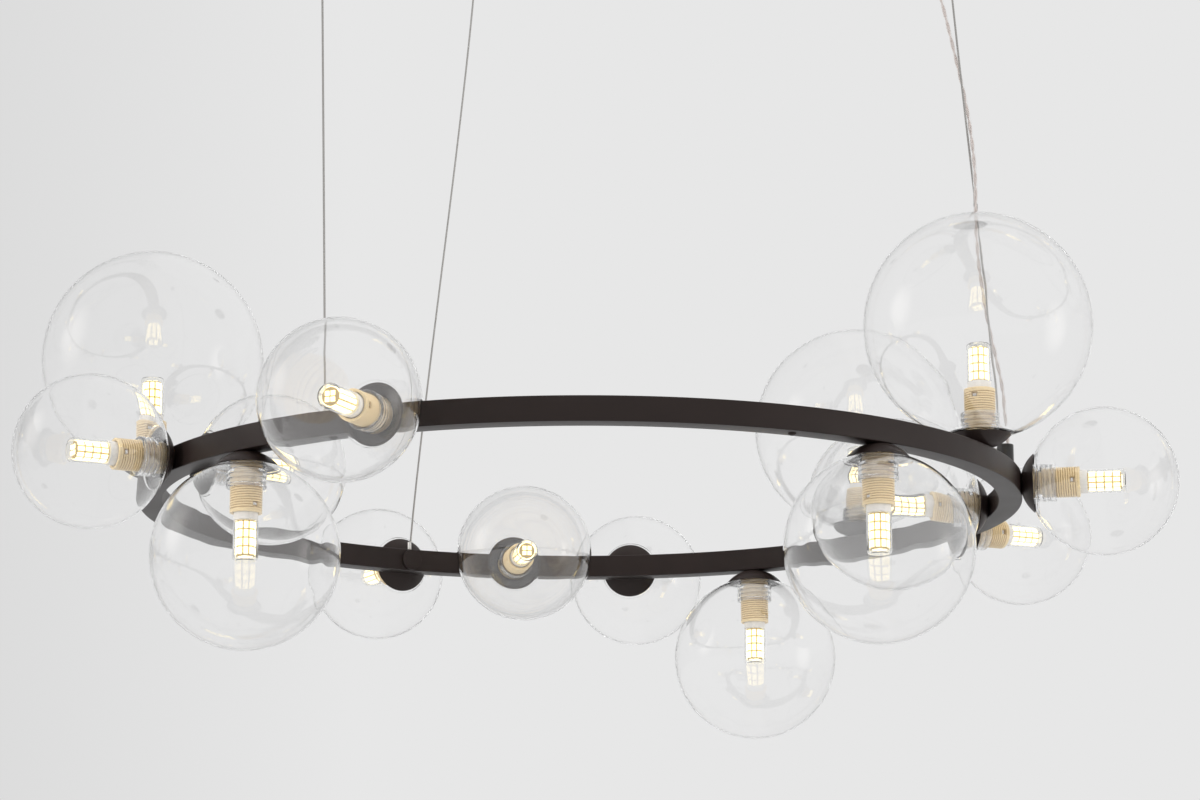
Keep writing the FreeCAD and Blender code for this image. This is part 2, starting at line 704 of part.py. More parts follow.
def build():
    os.makedirs("parts", exist_ok=True)
    save("ring_tube", ring_tube())
    save("ring_wiring", ring_wiring())
    glass_by_size = {size: globe(diameter) for size, diameter in globe_d.items()}
    one_bulb = bulb()
    for number, (azimuth, facing, size) in enumerate(lamps, 1):
        frame = lamp_frame(azimuth, facing)
        save("globe_%02d_%s" % (number, facing), placed(glass_by_size[size], frame))
        save("bulb_%02d" % number, placed(one_bulb, frame))
    holder = lampholder()
    dish = lamp_dish()
    for facing in ("up", "down", "in", "out"):
        save("lampholders_" + facing, group(lambda f: holder, facing))
        save("dishes_" + facing, group(lambda f: dish, facing))
    save("lamp_nipples", group(lamp_nipple))
    save("lamp_nuts", group(lamp_nut))
    save("anchor_plugs", Part.makeCompound([anchor_plug(a) for a in anchor_azimuths()[:-1]]))
    save("wire_sleeves", Part.makeCompound([wire_sleeve(i) for i in (0, 1)]))
    for i, side in enumerate(("left", "back", "right")):
        save("wire_" + side, hung_wire(i))
        save("plunger_" + side, gripper_plunger(i))
    save("power_cord", tube_along(cord_route(), cord_d))
    save("cord_gland", cord_gland())
    save("gland_screw", gland_screw())
    save("ring_screws", Part.makeCompound([ring_screw(a) for a in ring_screw_azimuths]))
    save("screw_plates", Part.makeCompound([screw_plate(a) for a in ring_screw_azimuths]))
    save("ceiling_bases", Part.makeCompound([ceiling_base(i) for i in range(wire_count)]))
    save("ceiling_caps", Part.makeCompound([ceiling_cap(i) for i in range(wire_count)]))
    save("canopy", canopy())
    save("cord_relief", cord_relief())
    save("terminal_block", terminal_block())


build()
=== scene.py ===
"""Looks of a ring chandelier: a square-tube ring on three steel wires with fifteen clear glass globes.

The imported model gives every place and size. Lengths are in metres, and the comments give millimetres.
"""

import json
from itertools import product
from math import cos, pi, radians, sin, sqrt

import bpy
import numpy as np
from bpy.props import FloatProperty, FloatVectorProperty, IntProperty, PointerProperty
from mathutils import Matrix, Vector


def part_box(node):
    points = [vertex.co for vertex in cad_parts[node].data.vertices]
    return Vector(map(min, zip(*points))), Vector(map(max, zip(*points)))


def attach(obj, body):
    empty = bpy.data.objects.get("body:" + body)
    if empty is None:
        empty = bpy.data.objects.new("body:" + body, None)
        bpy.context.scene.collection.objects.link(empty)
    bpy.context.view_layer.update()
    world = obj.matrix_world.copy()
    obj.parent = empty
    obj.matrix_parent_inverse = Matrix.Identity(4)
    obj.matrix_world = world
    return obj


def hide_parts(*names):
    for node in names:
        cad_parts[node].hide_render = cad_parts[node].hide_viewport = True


bl_info = {
    "name": "Ring chandelier",
    "version": (1, 0, 0),
    "blender": (4, 5, 0),
    "location": "View3D > Sidebar > Chandelier",
    "description": "Surfaces, materials, cords and stage of a ring chandelier with glass globes",
    "category": "Object",
}

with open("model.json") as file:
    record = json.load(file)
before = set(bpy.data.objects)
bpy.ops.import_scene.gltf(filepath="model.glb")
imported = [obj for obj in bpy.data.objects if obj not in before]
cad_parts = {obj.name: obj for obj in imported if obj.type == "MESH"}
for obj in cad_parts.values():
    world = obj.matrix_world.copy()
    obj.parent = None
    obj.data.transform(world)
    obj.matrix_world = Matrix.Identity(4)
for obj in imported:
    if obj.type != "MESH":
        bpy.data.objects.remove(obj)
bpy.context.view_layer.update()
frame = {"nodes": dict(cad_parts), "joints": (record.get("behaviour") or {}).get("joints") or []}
MM = 0.001
FIXED_BODY = "hung_frame"

# Places that the frame gives
RING_LOW, RING_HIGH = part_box("ring_tube")
RING_TOP = RING_HIGH.z
RING_BOTTOM = RING_LOW.z
RING_MID = (RING_TOP + RING_BOTTOM) / 2
TUBE_SIDE = RING_TOP - RING_BOTTOM
RING_R = round((RING_HIGH.x - RING_LOW.x) / 2, 3)
RING_INNER_R = RING_R - TUBE_SIDE
IN_SHIFT = 0.12 * MM         # flat seats stand this far off the ring's hollow side

# Hanging wires and cord, as in the part's source
WIRE_COUNT = 3
WIRE_AZIMUTH = 236.5
WIRE_CIRCLE_R = RING_INNER_R + 3.5 * MM
CEILING_R = 255 * MM
CEILING_TWIST = -8.3
GLAND_H = 25 * MM
SLEEVE_H = 6 * MM
WIRE_RISE = 13 * MM
WIRE_ENTRY = 18 * MM
WIRE_TAIL = 4 * MM
FLANGE_H = 2 * MM
CANOPY_H = 26 * MM
CAP_H = 18 * MM
CAP_FLOOR = 4 * MM
NOSE_H = 10 * MM
PLUNGER_SHOW = 4 * MM
RELIEF_H = 9 * MM
RELIEF_REACH = 30 * MM
WIRE_D = 1.5 * MM
CORD_D = 3 * MM
CORD_INSET = 8 * MM          # the cord rises this far inside the ring's outer face
GLAND_R = 5.65 * MM
CLAMP_DROP = 4.6 * MM        # the clamp screw sits this far below the gland's top
RING_SCREW_AZIMUTHS = (238.5, 296.5)
DISH_H = 8.5 * MM

WIRE_SIDES = ("left", "back", "right")
FACINGS = ("up", "down", "in", "out")


def on_circle(radius, azimuth, z=0.0):
    """Point at a radius and an azimuth in degrees round the ring's axis."""
    return Vector((radius * cos(radians(azimuth)), radius * sin(radians(azimuth)), z))


def wire_azimuths():
    """The wires at the ring: near left, far left and right."""
    step = 360 / WIRE_COUNT
    return [WIRE_AZIMUTH, WIRE_AZIMUTH - step, WIRE_AZIMUTH + step]


def cap_top(i):
    """The third fitting hangs lower, through the canopy."""
    return -FLANGE_H - (CANOPY_H - FLANGE_H if i == WIRE_COUNT - 1 else 0.0)


def ceiling_point(i, z):
    return on_circle(CEILING_R, wire_azimuths()[i] + CEILING_TWIST, z)


def frame_along(origin, axis, side_hint):
    """Matrix whose Z runs along an axis and whose X is the hint made square to it."""
    z = Vector(axis).normalized()
    x = (Vector(side_hint) - z * Vector(side_hint).dot(z)).normalized()
    y = z.cross(x)
    turn = Matrix((x, y, z)).transposed().to_4x4()
    return Matrix.Translation(origin) @ turn


def lamp_frames():
    """One dict per lamp: number, facing, ball radius, and the matrix from the lamp's own frame.

    The origin is on the tube's face, Z runs along the lamp, and X is level and turned towards -Y.
    """
    axes = {j["child"]: Vector(j["axis"]) for j in frame["joints"]}
    lamps = []
    for node in sorted(n for n in frame["nodes"] if n.startswith("globe_")):
        _, number, facing = node.split("_")
        axis = axes["globe_" + number]
        if facing == "out":
            origin, outward = axis * RING_R, axis
        elif facing == "in":
            origin, outward = axis * -(RING_INNER_R - IN_SHIFT), -axis
        else:
            low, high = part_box("bulb_" + number)
            origin = Vector(((low.x + high.x) / 2, (low.y + high.y) / 2, 0))
            outward = origin.normalized()
        origin.z = {"up": RING_TOP, "down": RING_BOTTOM}.get(facing, RING_MID)
        side = Vector((0, 0, 1)).cross(outward)
        if side.y > 0:
            side = -side
        low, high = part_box(node)
        ball_r = round(max(high - low) / 2, 3)
        lamps.append({"number": number, "facing": facing, "node": node, "ball_r": ball_r,
                      "matrix": frame_along(origin, axis, side)})
    return lamps


def sweep_grid(rows, cols, wrap_rows=False, wrap_cols=True):
    """Quads of a grid of rows by cols points, as index quadruples.

    A wrapped side joins its last line to its first.
    """
    r = np.arange(rows if wrap_rows else rows - 1)
    c = np.arange(cols if wrap_cols else cols - 1)
    r0, c0 = (a.ravel() for a in np.meshgrid(r, c, indexing="ij"))
    r1, c1 = (r0 + 1) % rows, (c0 + 1) % cols
    return np.stack([r0 * cols + c0, r0 * cols + c1, r1 * cols + c1, r1 * cols + c0], axis=1)


def turned(profile, steps, closed=False, shape=None):
    """Surface of revolution round Z: each profile point (r, z) goes to (r cos t, r sin t, z) for t all round.

    shape may change the radii: it gets the grids of r, z and t and returns new radii.
    An open profile's ends lie on the axis and become one point each, with a fan of triangles.
    A closed profile is a loop clear of the axis. The profile runs so that its left side is inside.
    """
    profile = np.asarray(profile, float)
    t = np.linspace(0, 2 * pi, steps, endpoint=False)
    r, turn = np.meshgrid(profile[:, 0], t, indexing="ij")
    z = np.repeat(profile[:, 1:2], steps, axis=1)
    if shape is not None:
        r = shape(r, z, turn)
    points = np.stack([r * np.cos(turn), r * np.sin(turn), z], axis=-1)
    if closed:
        return points.reshape(-1, 3), sweep_grid(len(profile), steps, True), np.zeros((0, 3), int)
    body = points[1:-1].reshape(-1, 3)
    rows = len(profile) - 2
    poles = np.array([[0, 0, profile[0, 1]], [0, 0, profile[-1, 1]]])
    first, last = len(body), len(body) + 1
    k = np.arange(steps)
    k1 = (k + 1) % steps
    start_fan = np.stack([np.full(steps, first), k1, k], axis=1)
    end_ring = (rows - 1) * steps
    end_fan = np.stack([np.full(steps, last), end_ring + k, end_ring + k1], axis=1)
    quads = sweep_grid(rows, steps)
    return np.vstack([body, poles]), quads, np.vstack([start_fan, end_fan])


def soften(corners, radius, steps=4, closed=False):
    """Profile whose inner corners are arcs.

    Each corner's arc touches both its sides at radius / tan(half angle) from the corner.
    """
    corners = np.asarray(corners, float)
    count = len(corners)
    out = []
    for i, here in enumerate(corners):
        if not closed and i in (0, count - 1):
            out.append(here)
            continue
        before, after = corners[i - 1], corners[(i + 1) % count]
        a, b = before - here, after - here
        la, lb = np.linalg.norm(a), np.linalg.norm(b)
        a, b = a / la, b / lb
        half = np.arccos(np.clip(a @ b, -1, 1)) / 2
        if half > 1.5:
            out.append(here)
            continue
        cut = min(radius / np.tan(half), 0.45 * la, 0.45 * lb)
        r = cut * np.tan(half)
        middle = here + (a + b) / np.linalg.norm(a + b) * (r / np.sin(half))
        p, q = here + a * cut - middle, here + b * cut - middle
        sweep = pi - 2 * half
        for s in np.linspace(0, 1, steps + 1):
            point = (np.sin((1 - s) * sweep) * p + np.sin(s * sweep) * q) / np.sin(sweep)
            out.append(middle + point)
    return np.array(out)


def moved(part, matrix):
    """A part's points taken through a matrix."""
    points, quads, tris = part
    m = np.array(matrix)
    return points @ m[:3, :3].T + m[:3, 3], quads, tris


def placed(part, spot):
    """A part moved to a spot without turning."""
    return moved(part, Matrix.Translation(spot))


def joined(parts):
    """Several parts as one, their faces renumbered."""
    points, quads, tris, base = [], [], [], 0
    for p, q, t in parts:
        points.append(p)
        quads.append(q + base)
        tris.append(t + base)
        base += len(p)
    return np.vstack(points), np.vstack(quads), np.vstack(tris)


def make_piece(name, part, material, body=FIXED_BODY, replaces=(), second=None):
    """Mesh object from a part's arrays, with its material, riding on its body and standing in for the CAD nodes it
    hides.

    second gives another material for a run of its quads.
    """
    points, quads, tris = part
    mesh = bpy.data.meshes.new(name)
    mesh.vertices.add(len(points))
    mesh.vertices.foreach_set("co", points.astype(np.float32).ravel())
    loops = np.concatenate([quads.ravel(), tris.ravel()]).astype(np.int32)
    sizes = np.concatenate([np.full(len(quads), 4), np.full(len(tris), 3)])
    starts = np.concatenate([[0], np.cumsum(sizes)[:-1]]).astype(np.int32)
    mesh.loops.add(len(loops))
    mesh.loops.foreach_set("vertex_index", loops)
    mesh.polygons.add(len(sizes))
    mesh.polygons.foreach_set("loop_start", starts)
    mesh.polygons.foreach_set("use_smooth", np.full(len(sizes), True))
    if second:
        other, start, stop = second
        chosen = np.zeros(len(sizes), np.int32)
        chosen[start:stop] = 1
        mesh.polygons.foreach_set("material_index", chosen)
    mesh.update(calc_edges=True)
    mesh.validate()
    mesh.set_sharp_from_angle(angle=radians(38))
    piece = bpy.data.objects.new(name, mesh)
    bpy.context.scene.collection.objects.link(piece)
    mesh.materials.append(material)
    if second:
        mesh.materials.append(other)
    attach(piece, body)
    if replaces:
        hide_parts(*replaces)
    return piece


def block(width, depth, height, bevel):
    """Box centred on the origin with one chamfer all round.

    Each corner gives three points: drawn in by the bevel along two axes and kept out along the third.
    """
    sizes = np.array([width, depth, height]) / 2
    corners = list(product((-1, 1), repeat=3))
    points, quads, tris = [], [], []
    index = {}
    for signs in corners:
        for axis in range(3):
            p = np.array(signs) * (sizes - bevel)
            p[axis] = signs[axis] * sizes[axis]
            index[(*signs, axis)] = len(points)
            points.append(p)
    for s in (-1, 1):
        faces = [
            [(s, -1, -1, 0), (s, s, -s, 0), (s, 1, 1, 0), (s, -s, s, 0)],
            [(-1, s, -1, 1), (-s, s, s, 1), (1, s, 1, 1), (s, s, -s, 1)],
            [(-1, -1, s, 2), (s, -s, s, 2), (1, 1, s, 2), (-s, s, s, 2)],
        ]
        quads += [[index[k] for k in face] for face in faces]
        for u in (-1, 1):
            along_x = [(-1, s, u, 1), (1, s, u, 1), (1, s, u, 2), (-1, s, u, 2)]
            along_y = [(s, -1, u, 2), (s, 1, u, 2), (s, 1, u, 0), (s, -1, u, 0)]
            along_z = [(s, u, -1, 0), (s, u, 1, 0), (s, u, 1, 1), (s, u, -1, 1)]
            for face in (along_x, along_y, along_z):
                quads.append([index[k] for k in face][::s * u])
    for signs in corners:
        corner = [index[(*signs, axis)] for axis in range(3)]
        tris.append(corner[::signs[0] * signs[1] * signs[2]])
    return np.array(points), np.array(quads), np.array(tris)


def tube_round(line, radius, sides, reach=0.0, turns=0.0, phase=0.0):
    """Round tube along a line of points, with flat ends.

    Its centre may itself wind round the line at a reach, turning evenly with the length, as a strand does.
    The section's axes are carried along the line without twist.
    """
    line = np.asarray(line, float)
    ahead = np.gradient(line, axis=0)
    ahead /= np.linalg.norm(ahead, axis=1)[:, None]
    side = np.cross(ahead[0], [0.3, 1.0, 0.2])
    sides_list = []
    for a in ahead:
        side = side - a * (side @ a)
        side = side / np.linalg.norm(side)
        sides_list.append(side)
    u = np.array(sides_list)
    v = np.cross(ahead, u)
    if reach:
        run = np.concatenate([[0], np.cumsum(np.linalg.norm(np.diff(line, axis=0), axis=1))])
        wind = phase + 2 * pi * turns * run / run[-1]
        line = line + reach * (u * np.cos(wind)[:, None] + v * np.sin(wind)[:, None])
        tangent = np.gradient(line, axis=0)
        tangent /= np.linalg.norm(tangent, axis=1)[:, None]
        u = u - tangent * np.sum(u * tangent, axis=1)[:, None]
        u /= np.linalg.norm(u, axis=1)[:, None]
        v = np.cross(tangent, u)
    t = np.linspace(0, 2 * pi, sides, endpoint=False)
    across = u[:, None] * np.cos(t)[None, :, None] + v[:, None] * np.sin(t)[None, :, None]
    points = (line[:, None] + radius * across).reshape(-1, 3)
    ends = np.vstack([line[0], line[-1]])
    k = np.arange(sides)
    k1 = (k + 1) % sides
    first, last = len(points), len(points) + 1
    end = (len(line) - 1) * sides
    tris = np.vstack([np.stack([np.full(sides, first), k1, k], axis=1),
                      np.stack([np.full(sides, last), end + k, end + k1], axis=1)])
    return np.vstack([points, ends]), sweep_grid(len(line), sides), tris


def srgb(code):
    """Linear colour with alpha 1 from an sRGB hex value."""
    parts = [int(code[i:i + 2], 16) / 255 for i in (1, 3, 5)]
    return tuple(c / 12.92 if c <= 0.04045 else ((c + 0.055) / 1.055) ** 2.4 for c in parts) + (1.0,)


def add(tree, kind, settings=None, links=None):
    """Adds a node; settings name inputs or attributes, links name inputs and give outputs.

    The setting "stops" gives a colour ramp's positions and colours in pairs.
    """
    node = tree.nodes.new(kind)
    for key, value in (settings or {}).items():
        if key == "stops":
            for stop, (at, colour) in zip(node.color_ramp.elements, value):
                stop.position, stop.color = at, colour
        elif isinstance(key, int) or key in node.inputs:
            node.inputs[key].default_value = value
        else:
            setattr(node, key, value)
    for key, output in (links or {}).items():
        tree.links.new(output, node.inputs[key])
    return node


def new_material(name):
    """Empty node material with its output node and Object coordinates."""
    material = bpy.data.materials.new(name)
    material.use_nodes = True
    tree = material.node_tree
    tree.nodes.clear()
    out = add(tree, "ShaderNodeOutputMaterial")
    place = add(tree, "ShaderNodeTexCoord").outputs["Object"]
    return material, tree, out, place


def darker(colour, share):
    """A share of a colour's light, opaque."""
    return tuple(c * share for c in colour[:3]) + (1.0,)


def mottled(tree, place, grain, detail, blend, dark, colour):
    """A pattern with blobs of a real size, and the tint that it gives between a dark and a full colour."""
    noise = add(tree, "ShaderNodeTexNoise", {"Scale": 1 / grain, "Detail": detail}, {"Vector": place})
    pattern = noise.outputs["Fac"]
    tint = add(tree, "ShaderNodeValToRGB", {"stops": zip(blend, (dark, colour))}, {"Fac": pattern})
    return pattern, tint.outputs["Color"]


def grained_skin(tree, out, tint, relief, raised, pattern, rough, settings):
    """Opaque skin: a relief raised with a strength and depth, and a roughness that a pattern spreads."""
    bump = add(tree, "ShaderNodeBump", {"Strength": raised[0], "Distance": raised[1]}, {"Height": relief})
    gloss = add(tree, "ShaderNodeMapRange", {"To Min": rough[0], "To Max": rough[1]}, {"Value": pattern})
    skin = add(tree, "ShaderNodeBsdfPrincipled", settings,
               {"Base Color": tint, "Normal": bump.outputs["Normal"], "Roughness": gloss.outputs["Result"]})
    tree.links.new(skin.outputs[0], out.inputs[0])


def passing_light(tree, out, body, tint):
    """A clear body on the output, which is plain tinted air to the rays that look for a lamp."""
    clear = add(tree, "ShaderNodeBsdfTransparent", {"Color": tint})
    path = add(tree, "ShaderNodeLightPath")
    mix = add(tree, "ShaderNodeMixShader",
              links={0: path.outputs["Is Shadow Ray"], 1: body.outputs[0], 2: clear.outputs[0]})
    tree.links.new(mix.outputs[0], out.inputs[0])


def seen_directly(tree):
    """1 for rays of the camera and those that glass or gloss pass on, 0 for the rays that carry light."""
    path = add(tree, "ShaderNodeLightPath")
    glass = add(tree, "ShaderNodeMath", {"operation": "MAXIMUM"},
                {0: path.outputs["Is Camera Ray"], 1: path.outputs["Is Transmission Ray"]})
    return add(tree, "ShaderNodeMath", {"operation": "MAXIMUM"},
               {0: glass.outputs[0], 1: path.outputs["Is Glossy Ray"]}).outputs[0]


def coated_steel(name, colour, rough):
    """Powder-coated steel: sprayed dry and baked, a satin skin with fine orange peel and faint dull patches."""
    material, tree, out, place = new_material(name)
    peel = add(tree, "ShaderNodeTexNoise", {"Scale": 1 / (0.9 * MM), "Detail": 3.0}, {"Vector": place})
    patch, tint = mottled(tree, place, 45 * MM, 4.0, (0.35, 0.65), darker(colour, 0.82), colour)
    grained_skin(tree, out, tint, peel.outputs["Fac"], (0.22, 0.05 * MM), patch, (rough - 0.04, rough + 0.06),
                 {"IOR": 1.5, "Specular IOR Level": 0.2})
    return material


def blown_glass(name, tint, edge, bend, gloss, ripple):
    """Clear blown soda-lime glass: smooth, with slow waves from the mould. Lamps shine through it.

    It bends light less than it mirrors it, so the rims of thin walls darken less.
    What is behind its middle wavers with the wall's ripples, and the mirrored lamps stay calm.
    """
    material, tree, out, place = new_material(name)
    wave = add(tree, "ShaderNodeTexNoise", {"Scale": 1 / (28 * MM), "Detail": 1.0}, {"Vector": place})
    bump = add(tree, "ShaderNodeBump", {"Strength": 0.03, "Distance": 1.0 * MM}, {"Height": wave.outputs["Fac"]})
    grazing = add(tree, "ShaderNodeLayerWeight", {"Blend": 0.28}).outputs["Facing"]
    # Painted shade: at grazing angles the colour turns to the edge colour, darkening the rims a little
    colour = add(tree, "ShaderNodeValToRGB", {"stops": ((0.8, tint), (1.0, edge))}, {"Fac": grazing})
    calm = add(tree, "ShaderNodeMapRange", {"From Min": 0.02, "From Max": 0.25, "To Min": 1.0, "To Max": 0.0},
               {"Value": grazing})
    cast = add(tree, "ShaderNodeTexNoise", {"Scale": 1 / (18 * MM), "Detail": 0.0}, {"Vector": place})
    sway = add(tree, "ShaderNodeBump", {"Distance": ripple},
               {"Height": cast.outputs["Fac"], "Strength": calm.outputs["Result"]})
    glass = add(tree, "ShaderNodeBsdfPrincipled",
                {"IOR": bend, "Roughness": 0.0, "Transmission Weight": 1.0,
                 "Coat Weight": 1.0, "Coat IOR": gloss, "Coat Roughness": 0.0},
                {"Base Color": colour.outputs["Color"], "Normal": sway.outputs["Normal"],
                 "Coat Normal": bump.outputs["Normal"]})
    passing_light(tree, out, glass, tint)
    return material


def moulded(name, colour, rough, grain, sheen=0.0, hollow_shade=None):
    """Moulded or pressed body, such as ceramic or nylon: a fine matt grain, and painted shade in hollows if asked.
    """
    material, tree, out, place = new_material(name)
    fine, tint = mottled(tree, place, grain, 4.0, (0.3, 0.7), darker(colour, 0.86), colour)
    if hollow_shade:
        # Painted shade: where the surface's pointiness is low, in its hollows, the colour is multiplied by a
        # darker brown
        bulge = add(tree, "ShaderNodeNewGeometry").outputs["Pointiness"]
        stops = ((0.44, hollow_shade), (0.51, srgb("#ffffff")))
        shade = add(tree, "ShaderNodeValToRGB", {"stops": stops}, {"Fac": bulge})
        tint = add(tree, "ShaderNodeMix", {"data_type": "RGBA", "blend_type": "MULTIPLY", 0: 1.0},
                   {6: tint, 7: shade.outputs["Color"]}).outputs[2]
    grained_skin(tree, out, tint, fine, (0.15, 0.04 * MM), fine, (rough - 0.05, rough + 0.05),
                 {"IOR": 1.5, "Coat Weight": sheen, "Coat Roughness": 0.25})
    return material


def bare_metal(name, colour, rough, grain):
    """Plated or drawn metal: metallic, with a fine grain that varies its gloss."""
    material, tree, out, place = new_material(name)
    fine, tint = mottled(tree, place, grain, 5.0, (0.3, 0.7), darker(colour, 0.8), colour)
    grained_skin(tree, out, tint, fine, (0.1, 0.03 * MM), fine, (rough * 0.8, rough * 1.3), {"Metallic": 1.0})
    return material


def lit_phosphor(name, colour, glow, power):
    """Phosphor over a diode while lit: yellow resin that glows, with a fine grain of slightly dimmer specks."""
    material, tree, out, place = new_material(name)
    _, tint = mottled(tree, place, 0.4 * MM, 2.0, (0.3, 0.7), darker(glow, 0.93), glow)
    resin = add(tree, "ShaderNodeBsdfPrincipled",
                {"Base Color": colour, "Roughness": 0.4, "Emission Strength": power}, {"Emission Color": tint})
    tree.links.new(resin.outputs[0], out.inputs[0])
    return material


def clear_plastic(name, tint, rough):
    """Clear moulded or extruded plastic, with faint waves. It bends light nearly as little as the glass."""
    material, tree, out, place = new_material(name)
    haze = add(tree, "ShaderNodeTexNoise", {"Scale": 1 / (6 * MM), "Detail": 2.0}, {"Vector": place})
    bump = add(tree, "ShaderNodeBump", {"Strength": 0.05, "Distance": 0.1 * MM}, {"Height": haze.outputs["Fac"]})
    plastic = add(tree, "ShaderNodeBsdfPrincipled",
                  {"IOR": 1.1, "Roughness": rough, "Transmission Weight": 1.0, "Coat Weight": 1.0,
                   "Coat IOR": 1.5, "Coat Roughness": rough, "Base Color": tint},
                  {"Normal": bump.outputs["Normal"]})
    passing_light(tree, out, plastic, tint)
    return material


def material_named(name):
    """Material by name, made on first use from its finish and that finish's values."""
    found = bpy.data.materials.get(name)
    if found:
        return found
    looks = bpy.context.scene.chandelier_looks
    coat = tuple(looks.coat_colour) + (1.0,)
    white = srgb("#ffffff")
    finishes = {
        # Satin dark brown, nearly black in the shade
        "powder_coated_steel": (coated_steel, coat, looks.coat_roughness),
        # Thin and clear, seen by its mirrored lamps, with a faint painted shade on its rims
        "blown_glass": (blown_glass, white, srgb("#fbf9f6"), 1.08, 1.6, 3.5 * MM),
        # Thick and ribbed, so it bends and glints
        "pressed_glass": (blown_glass, white, white, 1.42, 2.1, 0.1 * MM),
        # Warm cream, with painted shade in its threads
        "cream_ceramic": (moulded, srgb("#ead3a6"), 0.42, 0.7 * MM, 0.3, srgb("#b59a7c")),
        # Pale foot with a weak glaze
        "white_ceramic": (moulded, srgb("#e8e5e0"), 0.3, 0.5 * MM, 0.5),
        # White board painted ochre with the glow of its chips, matt
        "white_board": (moulded, srgb("#bda36a"), 0.45, 0.5 * MM),
        # Near-black moulding with a soft sheen
        "black_nylon": (moulded, srgb("#1b1918"), 0.38, 0.6 * MM, 0.2),
        # Bright, warm and sharp in its mirror images
        "nickel_plate": (bare_metal, srgb("#c9c4bd"), 0.18, 1.2 * MM),
        # Grey and half dull
        "drawn_steel": (bare_metal, srgb("#c9c7c4"), 0.35, 0.5 * MM),
        # Cooler and darker grey, half dull
        "zinc_plate": (bare_metal, srgb("#9c9ea1"), 0.38, 0.8 * MM),
        # Pale silver strands, dull
        "tinned_copper": (bare_metal, srgb("#fbf1ec"), 0.5, 0.4 * MM),
        # Warm white glow
        "lit_phosphor": (lit_phosphor, srgb("#f5e08a"), srgb("#fff0c2"), looks.glow),
        # Clear cover, hardly hazy
        "polycarbonate": (clear_plastic, srgb("#fdfdfb"), 0.02),
        # Clear soft sheath, a little hazier
        "clear_pvc": (clear_plastic, white, 0.05),
    }
    finish, *values = finishes[name]
    return finish(name, *values)


def ring_section(turn_steps):
    """Rounded square carried round the ring: section point (r, z) goes to (r cos t, r sin t, z)."""
    r0, r1 = RING_INNER_R, RING_R
    corners = [(r1, RING_BOTTOM), (r1, RING_TOP), (r0, RING_TOP), (r0, RING_BOTTOM)]
    edge = bpy.context.scene.chandelier_looks.edge_radius
    return turned(soften(corners, edge, 5, closed=True), turn_steps, closed=True)


def dish_part():
    """Spherical cap of sheet with a rolled rim: two arcs of one centre, a sheet apart, joined at rim and hole."""
    rim_r, seat_r, height, sheet, hole_r = 20 * MM, 6.5 * MM, DISH_H, 1.2 * MM, 5.1 * MM
    centre = (rim_r ** 2 - seat_r ** 2 + height ** 2) / (2 * height)
    ball = sqrt(centre ** 2 + seat_r ** 2)

    def arc(radius, z_from, z_to, steps):
        z = np.linspace(z_from, z_to, steps)
        return np.stack([np.sqrt(radius ** 2 - (centre - z) ** 2), z], axis=1)

    outer = arc(ball, 0.0, height - 0.45 * MM, 14)
    inner = arc(ball - sheet, height - 0.25 * MM, sheet, 14)
    rim = soften([outer[-1], (rim_r, height), (inner[0][0], height), inner[0]], 0.35 * MM, 3)
    floor = [(hole_r, sheet), (hole_r, 0.0)]
    return turned(np.vstack([outer, rim[1:-1], inner, floor]), 96, closed=True)


def holder_part():
    """Lampholder: a threaded barrel with a recess for the bulb and a sunk latch window.

    The thread takes a depth times the cube of a wave off the radius. The wave runs with the height over
    the pitch, less the turn.
    """
    looks = bpy.context.scene.chandelier_looks
    radius, low, high = 10.3 * MM, 1.2 * MM, 39.0 * MM
    foot, recess_r, recess = 2.4 * MM, 8.3 * MM, 4.0 * MM
    pitch = looks.thread_pitch
    depth = 0.6 * MM
    body = np.linspace(low + foot + 0.6 * MM, high - 1.6 * MM, 140)
    side = np.stack([np.full(len(body), radius), body], axis=1)
    top = soften([side[-1], (radius, high), (recess_r, high), (recess_r, high - recess),
                  (0, high - recess)], 0.5 * MM)
    start = [(0, low), (5.3 * MM, low), (radius - 0.4 * MM, low + foot - 0.2 * MM)]
    profile = np.vstack([start, side, top[1:]])

    def cut(r, z, t):
        blend = np.clip((z - low - foot) / (1.2 * MM), 0, 1) * np.clip((high - 1.2 * MM - z) / (1.0 * MM), 0, 1)
        wave = 0.5 - 0.5 * np.cos(2 * pi * (z / pitch - t / (2 * pi)))
        wall = r > radius - 0.01 * MM
        r = np.where(wall, r - depth * blend * wave ** 3, r)
        across = np.abs((t + pi) % (2 * pi) - pi) * radius
        window = (across < 2.0 * MM) & (np.abs(z - (high - 5.0 * MM)) < 1.5 * MM) & wall
        return np.where(window, radius - 1.9 * MM, r)

    return turned(profile, 80, shape=cut)


def latch_part():
    """Bright spring tongue in the lampholder's window, with a bent tip."""
    tongue = block(0.4 * MM, 2.6 * MM, 1.7 * MM, 0.08 * MM)
    tip = block(0.9 * MM, 1.2 * MM, 0.5 * MM, 0.08 * MM)
    return joined([placed(tongue, (8.75 * MM, 0, 33.9 * MM)), placed(tip, (8.95 * MM, 0, 34.2 * MM))])


